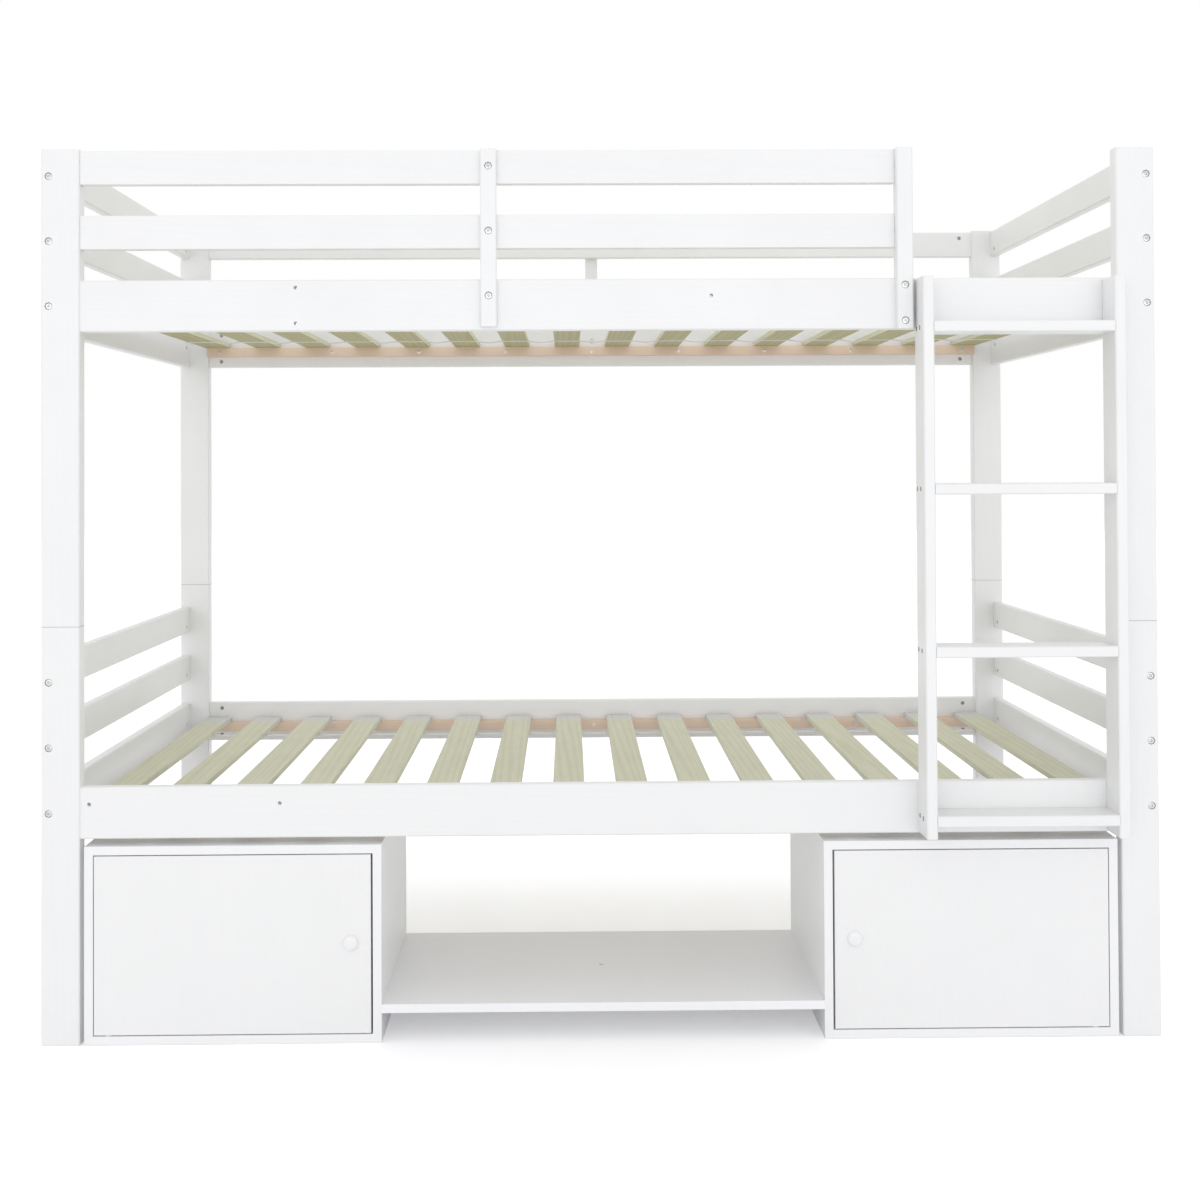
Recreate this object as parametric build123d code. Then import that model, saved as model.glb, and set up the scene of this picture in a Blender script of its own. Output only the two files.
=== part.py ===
"""Bunk bed for two mattresses, with a bolt-on ladder and a low storage unit with two doors.

Millimetres, +X along the bed to the right, +Y to the back, +Z up. Lengths in Y are first
counted from the front face of the posts, and the whole model is then shifted so that its
origin lies under the middle of the bed, on the floor.
"""

from build123d import *
import math
import os

# Frame posts, each in a lower and an upper half
frame_length = 2060.0
frame_depth = 972.0
post_width = 70.0
post_depth = 30.0
post_top = 1645.0
post_seam = 765.0

# Planed boards that the rails are cut from
board_thickness = 20.0
rail_setback = 3.5
wide_rail_height = 95.0
narrow_rail_height = 62.5
edge_ease = 2.0
small_ease = 0.8

# Heights of the rails, counted to the middle of the wide ones
lower_rail_middle = 423.0
upper_rail_middle = 1355.5
first_narrow_rise = 136.0
narrow_rail_pitch = 120.0

# Guard around the upper bunk
guard_post_width = 30.0
guard_post_depth = 30.0
guard_post_lap = 18.0
guard_post_gap = 6.0
strap_width = 30.0
strap_thickness = 12.0
strap_drop = 6.0

# Ladder
stile_depth = 64.0
stile_thickness = 20.0
ladder_post_gap = 6.5
ladder_clear_width = 329.5
stile_bottom = 379.0
stile_top = 1398.5
tread_thickness = 20.0
lowest_tread_top = 420.5
first_tread_gap = 305.5
tread_pitch = 295.5
upper_treads = 3

# Slats, the ledgers that carry them and the tapes that space them
slat_count = 16
slat_end_gap = 42.25
slat_width = 61.0
slat_thickness = 12.0
slat_end_clearance = 1.0
ledger_size = 22.0
tape_width = 20.0
tape_thickness = 1.0
tape_end_distance = 180.0

# Storage unit that stands under the lower bunk
cabinet_width = 544.0
cabinet_rail_gap = 13.0
cabinet_depth = 400.0
cabinet_board = 16.0
cabinet_back = 3.0
cabinet_post_gap = 8.5
shelf_underside = 54.0
shelf_foot_radius = 20.0

# Doors, their pivots, knobs and catches
door_hinge_gap = 1.5
door_free_gap = 3.5
door_end_gap = 2.0
pivot_edge_distance = 25.0
pivot_radius = 3.0
pivot_depth = 12.0
pivot_clearance = 0.05
washer_radius = 7.0
washer_bore_radius = 3.4
washer_clearance = 0.2
knob_radius = 14.25
knob_neck_radius = 7.0
knob_base_radius = 8.5
knob_length = 25.0
knob_crown = 9.0
knob_ease = 2.5
knob_from_edge = 37.0
knob_height = 183.0
knob_screw_radius = 2.0
knob_screw_depth = 12.0
knob_screw_head_radius = 4.0
knob_screw_head_height = 2.4
catch_length = 40.0
catch_size = 14.0
catch_from_side = 12.0
strike_thickness = 1.2
strike_length = 34.0
strike_height = 11.0
catch_gap = 0.3

# Bolts, nuts, dowels and pins
bolt_radius = 3.0
bolt_hole_clearance = 0.5
bolt_head_radius = 6.5
bolt_head_height = 4.0
bolt_seat_depth = 5.0
bolt_seat_clearance = 0.75
barrel_radius = 5.0
barrel_length = 16.0
barrel_sunk = 2.0
barrel_from_end = 31.0
barrel_clearance = 0.1
sleeve_radius = 4.0
sleeve_length = 20.0
sleeve_head_radius = 6.0
sleeve_head_height = 1.5
sleeve_clearance = 0.1
sleeve_thread = 12.0
post_pin_radius = 5.0
post_pin_length = 80.0
post_pin_clearance = 0.05
ladder_bolt_reach = 25.0
guard_screw_radius = 2.5
guard_screw_length = 70.0
guard_screw_head_radius = 4.5
guard_screw_head_height = 3.0
foot_screw_radius = 2.25
foot_screw_length = 45.0
foot_screw_head_radius = 4.5
foot_screw_head_height = 3.0

# Places of the bolts and dowels from the middle of a board's height
narrow_bolt_offset = 16.0
wide_bolt_offset = 33.0
strap_bolt_offset = 16.0

# Numbers of flat sides that stand in for a circle on the repeated small pieces
head_sides = 8
shank_sides = 6
turned_sides = 12
knob_sides = 24

# Everything below is worked out from the sizes above
half_length = frame_length / 2
post_inner = half_length - post_width
board_middle = rail_setback + board_thickness / 2
rail_inner = rail_setback + board_thickness
front_reach = rail_setback - stile_depth
rear_reach = frame_depth - rail_setback + strap_thickness
origin_y = (front_reach + rear_reach) / 2
socket_radius = pivot_radius / math.cos(math.pi / head_sides)
barrel_flat = barrel_radius * math.cos(math.pi / shank_sides)
wide_bolt_offsets = [-wide_bolt_offset, wide_bolt_offset]
narrow_middles = [first_narrow_rise, first_narrow_rise + narrow_rail_pitch]
bunk_middles = {"lower": lower_rail_middle, "upper": upper_rail_middle}
sides = {"left": -1, "right": 1}
guard_top = upper_rail_middle + narrow_middles[-1] + narrow_rail_height / 2
side_rail_bottom = upper_rail_middle - wide_rail_height / 2
side_rail_top = upper_rail_middle + wide_rail_height / 2
strap_bottom = side_rail_bottom + strap_drop
guard_post_front = rail_setback - guard_post_lap
ladder_right = post_inner - ladder_post_gap
ladder_left = ladder_right - 2 * stile_thickness - ladder_clear_width
stile_middles = [ladder_left + stile_thickness / 2, ladder_right - stile_thickness / 2]
guard_post_right = ladder_left - guard_post_gap
guard_post_left = guard_post_right - guard_post_width
guard_post_middle = (guard_post_left + guard_post_right) / 2
front_strap_x = (guard_post_left - post_inner) / 2
cabinet_height = lower_rail_middle - wide_rail_height / 2 - cabinet_rail_gap
slat_reach = half_length - rail_setback - board_thickness - slat_end_gap
slat_pitch = (2 * slat_reach - slat_width) / (slat_count - 1)
slat_length = frame_depth - 2 * post_depth - 2 * slat_end_clearance

# Planes that a prism of each direction is drawn in, so that a piece and its hole line up
FLAT = {Axis.X: (0, 0, 1), Axis.Y: (0, 0, 1), Axis.Z: (1, 0, 0)}


def box(x_limits, y_limits, z_limits):
    """A plain block between three pairs of limits."""
    (x0, x1), (y0, y1), (z0, z1) = sorted(x_limits), sorted(y_limits), sorted(z_limits)
    return Solid.make_box(x1 - x0, y1 - y0, z1 - z0, Plane(origin=(x0, y0, z0)))


def board(x_limits, y_limits, z_limits, grain, ease=edge_ease):
    """A block with the four edges along its grain eased."""
    block = box(x_limits, y_limits, z_limits)
    return chamfer(block.edges().filter_by(grain), ease)


def prism(start, axis, way, radius, length, sides_count):
    """A many-sided bar along one axis, which runs from its start the way of the sign."""
    direction = axis.direction * way
    plane = Plane(origin=start, x_dir=FLAT[axis], z_dir=direction)
    outline = plane * RegularPolygon(radius, sides_count)
    return extrude(outline, amount=length, dir=direction)


def along(start, axis, way, distance):
    """The point that lies a distance further along an axis."""
    return Vector(start) + axis.direction * way * distance


class Hardware:
    """Collects the pieces of each kind and the spaces that the boards are drilled with."""

    def __init__(self):
        self.pieces = {}
        self.spaces = []

    def add(self, kind, piece, *spaces):
        self.pieces.setdefault(kind, []).append(piece)
        self.spaces += spaces

    def drill(self, blank):
        """Cuts every space that reaches into the blank."""
        limits = blank.bounding_box()
        near = [s for s in self.spaces if boxes_meet(limits, s.bounding_box())]
        return blank.cut(*near) if near else blank


def boxes_meet(first, second):
    """True where two bounding boxes share some room."""
    lows = zip(first.min, second.max)
    highs = zip(second.min, first.max)
    return all(low < high for low, high in lows) and all(low < high for low, high in highs)


hardware = Hardware()


def bolt_seat(face, axis, way, reach):
    """The sunk seat of a bolt's head and the clear hole that goes on to the reach."""
    seat = prism(face, axis, way, bolt_head_radius + bolt_seat_clearance, bolt_seat_depth, head_sides)
    hole = prism(face, axis, way, bolt_radius + bolt_hole_clearance, reach, shank_sides)
    return seat, hole


def bolt(face, axis, way, tip):
    """A flat-headed bolt whose head lies in its seat and whose shank ends at the tip."""
    sunk = bolt_seat_depth - bolt_head_height
    head = prism(along(face, axis, way, sunk), axis, way, bolt_head_radius, bolt_head_height, head_sides)
    neck = along(face, axis, way, bolt_seat_depth)
    return head + prism(neck, axis, way, bolt_radius, tip - bolt_seat_depth, shank_sides)


def barrel_nut(centre, axis, face_distance, way):
    """A cross nut sunk below a face, and its pocket; the centre lies on the bolt's line."""
    face = along(centre, axis, -way, face_distance)
    nut = prism(along(face, axis, way, barrel_sunk), axis, way, barrel_radius, barrel_length, shank_sides)
    room = barrel_sunk + barrel_length + barrel_clearance
    pocket = prism(face, axis, way, barrel_radius + barrel_clearance, room, shank_sides)
    hardware.add("barrel_nuts", nut, pocket)


def barrel_joint(kind, face, axis, way, post_size, nut_axis, nut_way, nut_face_distance):
    """A bolt through a post into the end grain of a rail, drawn up by a cross nut."""
    nut_distance = post_size + barrel_from_end
    seat, hole = bolt_seat(face, axis, way, nut_distance)
    hardware.add(kind, bolt(face, axis, way, nut_distance + barrel_flat), seat, hole)
    barrel_nut(along(face, axis, way, nut_distance), nut_axis, nut_face_distance, nut_way)


def through_bolt(kind, face, axis, way, grip, nut_kind="sleeve_nuts"):
    """A bolt through two boards into a flanged sleeve nut on the far face."""
    tip = grip - sleeve_length + sleeve_thread
    seat, hole = bolt_seat(face, axis, way, grip)
    hardware.add(kind, bolt(face, axis, way, tip), seat, hole)
    far = along(face, axis, way, grip)
    flange = prism(far, axis, way, sleeve_head_radius, sleeve_head_height, head_sides)
    sleeve = prism(far, axis, -way, sleeve_radius, sleeve_length, shank_sides)
    room = prism(far, axis, -way, sleeve_radius + sleeve_clearance, sleeve_length, shank_sides)
    hardware.add(nut_kind, flange + sleeve, room)


def end_rail_joints():
    """Bolts along Y through the posts into the rails of the two ends."""
    for middle in bunk_middles.values():
        for side in sides.values():
            x = side * (half_length - board_middle)
            heights = [middle] + [middle + rise - narrow_bolt_offset for rise in narrow_middles]
            for face, way in ((0.0, 1), (frame_depth, -1)):
                for height in heights:
                    barrel_joint("end_rail_bolts", (x, face, height), Axis.Y, way, post_depth,
                                 Axis.X, side, board_thickness / 2)


def side_rail_joints():
    """Bolts along X through the posts into the long rails, two to a wide one."""
    for side in sides.values():
        for rear in (False, True):
            y = frame_depth - board_middle if rear else board_middle
            nut_way = 1 if rear else -1
            heights = [middle + offset for middle in bunk_middles.values() for offset in wide_bolt_offsets]
            if rear or side < 0:
                heights += [upper_rail_middle + rise + narrow_bolt_offset for rise in narrow_middles]
            for height in heights:
                barrel_joint("side_rail_bolts", (side * half_length, y, height), Axis.X, -side,
                             post_width, Axis.Y, nut_way, board_thickness / 2)


def guard_joints():
    """Straps and the guard's end post bolted to the rails, and screws into the rails' ends."""
    rises = [strap_bolt_offset] + narrow_middles
    for x, face, way in ((front_strap_x, rail_setback - strap_thickness, 1), (0.0, rear_reach, -1)):
        for rise in rises:
            through_bolt("guard_bolts", (x, face, upper_rail_middle + rise), Axis.Y, way,
                         strap_thickness + board_thickness)
    for offset in wide_bolt_offsets:
        through_bolt("guard_bolts", (guard_post_middle, guard_post_front, upper_rail_middle + offset),
                     Axis.Y, 1, guard_post_lap + board_thickness)
    for rise in narrow_middles:
        start = (guard_post_right, board_middle - guard_post_lap / 2, upper_rail_middle + rise)
        head = prism(start, Axis.X, -1, guard_screw_head_radius, guard_screw_head_height, head_sides)
        screw = head + prism(start, Axis.X, -1, guard_screw_radius, guard_screw_length, shank_sides)
        hardware.add("guard_screws", screw, screw)


def ladder_joints():
    """Bolts from behind the side rails into cross nuts in the stiles."""
    for x in stile_middles:
        for middle in bunk_middles.values():
            start = (x, rail_inner, middle + strap_bolt_offset)
            nut_distance = board_thickness + ladder_bolt_reach
            seat, hole = bolt_seat(start, Axis.Y, -1, nut_distance)
            hardware.add("ladder_bolts", bolt(start, Axis.Y, -1, nut_distance + barrel_flat), seat, hole)
            barrel_nut(along(start, Axis.Y, -1, nut_distance), Axis.X, stile_thickness / 2, -1)


def spare_holes():
    """Holes for putting the ladder and the guard's end post at the other end of the bed."""
    spots = [(-x, lower_rail_middle + strap_bolt_offset) for x in stile_middles]
    spots += [(-guard_post_middle, upper_rail_middle + offset) for offset in wide_bolt_offsets]
    spots += [(-front_strap_x, upper_rail_middle + strap_bolt_offset)]
    for x, z in spots:
        plane = Plane(origin=(x, rail_setback, z), z_dir=(0, 1, 0))
        hardware.spaces.append(Solid.make_cylinder(bolt_radius + bolt_hole_clearance, board_thickness, plane))


def post_pins():
    """A pin in each post that joins its upper half to the lower one."""
    start_z = post_seam - post_pin_length / 2
    for side in sides.values():
        for y in (post_depth / 2, frame_depth - post_depth / 2):
            start = (side * (half_length - post_width / 2), y, start_z)
            pin = prism(start, Axis.Z, 1, post_pin_radius, post_pin_length, shank_sides)
            bore = prism(start, Axis.Z, 1, post_pin_radius + post_pin_clearance, post_pin_length, shank_sides)
            hardware.add("post_pins", pin, bore)


def posts():
    """Eight half posts, named by place."""
    parts = {}
    for side_name, side in sides.items():
        x_limits = (side * post_inner, side * half_length)
        for end, y0 in (("front", 0.0), ("rear", frame_depth - post_depth)):
            for half, z_limits in (("lower", (0.0, post_seam)), ("upper", (post_seam, post_top))):
                blank = board(x_limits, (y0, y0 + post_depth), z_limits, Axis.Z)
                parts[f"post_{end}_{side_name}_{half}"] = [hardware.drill(blank)]
    return parts


def long_rails():
    """The side rails of both bunks and the guard rails of the upper one."""
    parts = {}
    for end in ("front", "rear"):
        y0 = rail_setback if end == "front" else frame_depth - rail_inner
        y_limits = (y0, y0 + board_thickness)
        for bunk, middle in bunk_middles.items():
            z_limits = (middle - wide_rail_height / 2, middle + wide_rail_height / 2)
            blank = board((-post_inner, post_inner), y_limits, z_limits, Axis.X)
            parts[f"side_rail_{end}_{bunk}"] = [hardware.drill(blank)]
        right = guard_post_left if end == "front" else post_inner
        for place, rise in zip(("middle", "top"), narrow_middles):
            middle = upper_rail_middle + rise
            z_limits = (middle - narrow_rail_height / 2, middle + narrow_rail_height / 2)
            blank = board((-post_inner, right), y_limits, z_limits, Axis.X)
            parts[f"guard_rail_{end}_{place}"] = [hardware.drill(blank)]
    return parts


def end_rails():
    """One wide and two narrow rails at each end of each bunk, between the posts."""
    parts = {}
    y_limits = (post_depth, frame_depth - post_depth)
    for side_name, side in sides.items():
        outer = side * (half_length - rail_setback)
        x_limits = (outer, outer - side * board_thickness)
        for bunk, middle in bunk_middles.items():
            sizes = [(middle, wide_rail_height)]
            sizes += [(middle + rise, narrow_rail_height) for rise in narrow_middles]
            rails = []
            for height, size in sizes:
                blank = board(x_limits, y_limits, (height - size / 2, height + size / 2), Axis.Y)
                rails.append(hardware.drill(blank))
            parts[f"end_rails_{side_name}_{bunk}"] = rails
    return parts


def guard_pieces():
    """The straps that tie the guard rails together and the post that ends the front guard."""
    z_limits = (strap_bottom, guard_top)
    front_y = (rail_setback - strap_thickness, rail_setback)
    rear_y = (frame_depth - rail_setback, rear_reach)
    parts = {}
    for end, x, y_limits in (("front", front_strap_x, front_y), ("rear", 0.0, rear_y)):
        blank = board((x - strap_width / 2, x + strap_width / 2), y_limits, z_limits, Axis.Z)
        parts[f"guard_strap_{end}"] = [hardware.drill(blank)]
    x_limits = (guard_post_left, guard_post_right)
    whole = board(x_limits, (guard_post_front, guard_post_front + guard_post_depth), (side_rail_bottom, guard_top), Axis.Z)
    rebate = box(x_limits, (rail_setback, rail_setback + guard_post_depth), (side_rail_bottom, side_rail_top))
    parts["guard_end_post"] = [hardware.drill(whole - rebate)]
    return parts


def ladder():
    """Two stiles that hang on the side rails, and four level treads between them."""
    y_limits = (front_reach, rail_setback)
    parts = {}
    for name, x in (("left", ladder_left), ("right", ladder_right - stile_thickness)):
        blank = board((x, x + stile_thickness), y_limits, (stile_bottom, stile_top), Axis.Z)
        parts[f"ladder_stile_{name}"] = [hardware.drill(blank)]
    tops = [lowest_tread_top]
    tops += [lowest_tread_top + first_tread_gap + i * tread_pitch for i in range(upper_treads)]
    x_limits = (ladder_left + stile_thickness, ladder_right - stile_thickness)
    parts["ladder_treads"] = [board(x_limits, y_limits, (top - tread_thickness, top), Axis.X) for top in tops]
    return parts


def slat_bases():
    """For each bunk, two ledgers on the side rails, a row of slats and two spacing tapes."""
    parts = {}
    middle_y = frame_depth / 2
    first = slat_width / 2 - slat_reach
    tapes = []
    for bunk, middle in bunk_middles.items():
        ledgers = []
        for y0 in (rail_inner, frame_depth - rail_inner - ledger_size):
            ledgers.append(box((-post_inner, post_inner), (y0, y0 + ledger_size), (middle - ledger_size, middle)))
        parts[f"ledgers_{bunk}"] = ledgers
        slats = []
        for i in range(slat_count):
            x = first + i * slat_pitch
            slats.append(box((x - slat_width / 2, x + slat_width / 2),
                             (middle_y - slat_length / 2, middle_y + slat_length / 2),
                             (middle, middle + slat_thickness)))
        parts[f"slats_{bunk}"] = slats
        for side in (-1, 1):
            y = middle_y + side * (slat_length / 2 - tape_end_distance)
            tapes.append(box((-slat_reach, slat_reach), (y - tape_width / 2, y + tape_width / 2),
                             (middle - tape_thickness, middle)))
    parts["slat_tapes"] = tapes
    return parts


def door_limits():
    """The heights between which a door lies."""
    return cabinet_board + door_end_gap, cabinet_height - cabinet_board - door_end_gap


def cabinet(name, side):
    """One cabinet with its door hinged on the outer side; side is -1 left, 1 right."""
    outer = side * (post_inner - cabinet_post_gap)
    inner = outer - side * cabinet_width
    outer_wall = outer - side * cabinet_board
    inner_wall = inner + side * cabinet_board
    board_y = (0.0, cabinet_depth - cabinet_back)
    wall_z = (cabinet_board, cabinet_height - cabinet_board)
    door_z0, door_z1 = door_limits()
    hinge_edge = outer_wall - side * door_hinge_gap
    free_edge = inner_wall + side * door_free_gap
    pivot_x = hinge_edge - side * pivot_edge_distance
    pivot_y = cabinet_board / 2
    knob_x = free_edge + side * knob_from_edge
    catch_x = free_edge + side * (catch_from_side + catch_length / 2)
    pivots = []
    door_bores = []
    socket_bores = []
    for z, way in ((door_z0, 1), (door_z1, -1)):
        foot = Plane(origin=(pivot_x, pivot_y, z - way * (door_end_gap + pivot_depth)), z_dir=(0, 0, way))
        edge = Plane(origin=(pivot_x, pivot_y, z), z_dir=(0, 0, -way))
        pivots.append(Solid.make_cylinder(pivot_radius, 2 * pivot_depth + door_end_gap, foot))
        socket_bores.append(prism(foot.origin, Axis.Z, way, socket_radius, pivot_depth, head_sides))
        bore = Solid.make_cylinder(pivot_radius + pivot_clearance, pivot_depth, edge.offset(-pivot_depth))
        door_bores.append(bore)
    washer_foot = (pivot_x, pivot_y, cabinet_board)
    washer_height = door_end_gap - washer_clearance
    washer = prism(washer_foot, Axis.Z, 1, washer_radius, washer_height, turned_sides)
    washer -= prism(washer_foot, Axis.Z, 1, washer_bore_radius, washer_height, turned_sides)
    top = box((outer, inner), board_y, (cabinet_height - cabinet_board, cabinet_height)) - socket_bores[1]
    bottom = box((outer, inner), board_y, (0.0, cabinet_board)) - socket_bores[0]
    walls = [box((outer, outer_wall), board_y, wall_z), box((inner, inner_wall), board_y, wall_z)]
    back = box((outer, inner), (cabinet_depth - cabinet_back, cabinet_depth), (0.0, cabinet_height))
    panel = board((hinge_edge, free_edge), (0.0, cabinet_board), (door_z0, door_z1), Axis.Z, small_ease)
    screw_hole = prism((knob_x, cabinet_board, knob_height), Axis.Y, -1, knob_screw_radius, cabinet_board, shank_sides)
    door = panel - door_bores[0] - door_bores[1] - screw_hole
    catch_front = cabinet_board + strike_thickness + catch_gap
    catch_top = cabinet_height - cabinet_board
    catch = box((catch_x - catch_length / 2, catch_x + catch_length / 2),
                (catch_front, catch_front + catch_size), (catch_top - catch_size, catch_top))
    strike = box((catch_x - strike_length / 2, catch_x + strike_length / 2),
                 (cabinet_board, cabinet_board + strike_thickness), (door_z1 - strike_height, door_z1))
    return {
        f"cabinet_{name}_top": [top],
        f"cabinet_{name}_bottom": [bottom],
        f"cabinet_{name}_walls": walls,
        f"cabinet_{name}_back": [back],
        f"door_{name}": [door],
        f"door_{name}_knob": [knob(knob_x), knob_screw(knob_x)],
        f"door_{name}_strike": [strike],
        "door_pivots": pivots,
        "door_washers": [washer],
        "door_catches": [catch],
    }


def knob(x):
    """A turned knob: a foot, a waist and an eased head, with a blind hole for its screw."""
    rim = knob_length - knob_crown
    profile = [(0, knob_base_radius), (rim / 2, knob_neck_radius), (rim, knob_radius),
               (knob_length - knob_ease, knob_radius), (knob_length, knob_radius - knob_ease)]
    sections = []
    for distance, radius in profile:
        plane = Plane(origin=(x, -distance, knob_height), x_dir=FLAT[Axis.Y], z_dir=(0, -1, 0))
        sections.append(plane * RegularPolygon(radius, knob_sides))
    turned = loft(sections, ruled=True)
    return turned - prism((x, 0, knob_height), Axis.Y, -1, knob_screw_radius, knob_screw_depth, shank_sides)


def knob_screw(x):
    """The screw that holds a knob from behind its door."""
    start = (x, cabinet_board, knob_height)
    head = prism(start, Axis.Y, 1, knob_screw_head_radius, knob_screw_head_height, head_sides)
    return head + prism(start, Axis.Y, -1, knob_screw_radius, cabinet_board + knob_screw_depth, shank_sides)


def shelf():
    """The board between the cabinets, with a foot under its middle that a screw holds."""
    reach = post_inner - cabinet_post_gap - cabinet_width
    top_z = shelf_underside + cabinet_board
    middle = (0.0, cabinet_depth / 2)
    blank = box((-reach, reach), (0.0, cabinet_depth), (shelf_underside, top_z))
    foot = prism((*middle, 0), Axis.Z, 1, shelf_foot_radius, shelf_underside, turned_sides)
    top = (*middle, top_z)
    head = prism(top, Axis.Z, -1, foot_screw_head_radius, foot_screw_head_height, head_sides)
    screw = head + prism(top, Axis.Z, -1, foot_screw_radius, foot_screw_length, shank_sides)
    return {"shelf": [blank - screw], "shelf_foot": [foot - screw], "shelf_foot_screw": [screw]}


def main():
    """Builds every piece, shifts it to the model's origin and writes one file for each node."""
    end_rail_joints()
    side_rail_joints()
    guard_joints()
    ladder_joints()
    spare_holes()
    post_pins()
    nodes = {}
    groups = [posts(), long_rails(), end_rails(), guard_pieces(), ladder(), slat_bases(), shelf(), hardware.pieces]
    groups += [cabinet(name, side) for name, side in sides.items()]
    for group in groups:
        for name, solids in group.items():
            nodes.setdefault(name, []).extend(solids)
    os.makedirs("parts", exist_ok=True)
    shift = Location((0, -origin_y, 0))
    for name, pieces in nodes.items():
        solids = [solid.moved(shift) for piece in pieces for solid in piece.solids()]
        export_step(Compound(solids), f"parts/{name}.step")
    print(len(nodes), "nodes, shifted by", -origin_y)


main()
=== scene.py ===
"""Studio scene of a white timber bunk bed with a ladder and a low storage unit.

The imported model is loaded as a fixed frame. Boards keep their solids and get painted or raw
timber finishes. The hardware, slats, tapes, knobs and front guard rails are rebuilt in finer
detail over their solids. Lengths are in metres, and MM turns millimetres into them.
"""

import logging
import math
from collections.abc import Callable, Sequence
from dataclasses import dataclass, field
from enum import Enum

import bmesh
import bpy
from mathutils import Matrix, Vector


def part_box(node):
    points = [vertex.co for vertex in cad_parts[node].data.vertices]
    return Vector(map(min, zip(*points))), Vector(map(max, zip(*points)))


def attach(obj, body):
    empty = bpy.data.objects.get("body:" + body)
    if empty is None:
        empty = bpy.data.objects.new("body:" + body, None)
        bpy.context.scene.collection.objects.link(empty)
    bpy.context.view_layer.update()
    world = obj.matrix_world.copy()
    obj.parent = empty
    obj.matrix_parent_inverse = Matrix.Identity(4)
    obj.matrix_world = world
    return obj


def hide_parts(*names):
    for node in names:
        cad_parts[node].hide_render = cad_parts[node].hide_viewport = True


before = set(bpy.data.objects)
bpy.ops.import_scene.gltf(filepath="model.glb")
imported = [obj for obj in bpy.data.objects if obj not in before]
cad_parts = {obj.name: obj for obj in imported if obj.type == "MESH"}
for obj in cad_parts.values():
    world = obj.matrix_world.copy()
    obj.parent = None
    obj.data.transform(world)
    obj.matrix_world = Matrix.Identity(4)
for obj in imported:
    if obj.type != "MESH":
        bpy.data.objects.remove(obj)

logging.basicConfig(level=logging.INFO, format="%(name)s: %(message)s")
log = logging.getLogger("bunk_bed")

MM = 0.001
POST_SEAM_M = 0.765
SEED = 7
GRAIN_STRETCH = 0.02
FLAME_STRETCH = 0.22
TURNED_SMOOTH_DEG = 35.0
BOARD_SMOOTH_DEG = 12.0

RIGHT = Vector((1.0, 0.0, 0.0))
LEFT = Vector((-1.0, 0.0, 0.0))
BACK = Vector((0.0, 1.0, 0.0))
FRONT = Vector((0.0, -1.0, 0.0))
UP = Vector((0.0, 0.0, 1.0))
DOWN = Vector((0.0, 0.0, -1.0))

Colour = tuple[float, float, float]
Radius = float | Callable[[float], float]
Ring = tuple[Radius, float]
Spot = tuple[Vector, Vector]
Socket = bpy.types.NodeSocket
Value = Socket | float | Sequence[float]
Inputs = dict[str | int, Value]


class Grain(Enum):
    """The way that a board's grain runs."""

    X = (1.0, 0.0, 0.0)
    Y = (0.0, 1.0, 0.0)
    Z = (0.0, 0.0, 1.0)

    def stretch(self, along: float) -> Colour:
        """Scale of the texture space: slow along the grain, plain across it."""
        return tuple(along if part else 1.0 for part in self.value)


def darker(colour: Colour, share: float) -> Colour:
    """A colour darkened to a share of itself."""
    return tuple(part * share for part in colour)


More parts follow.
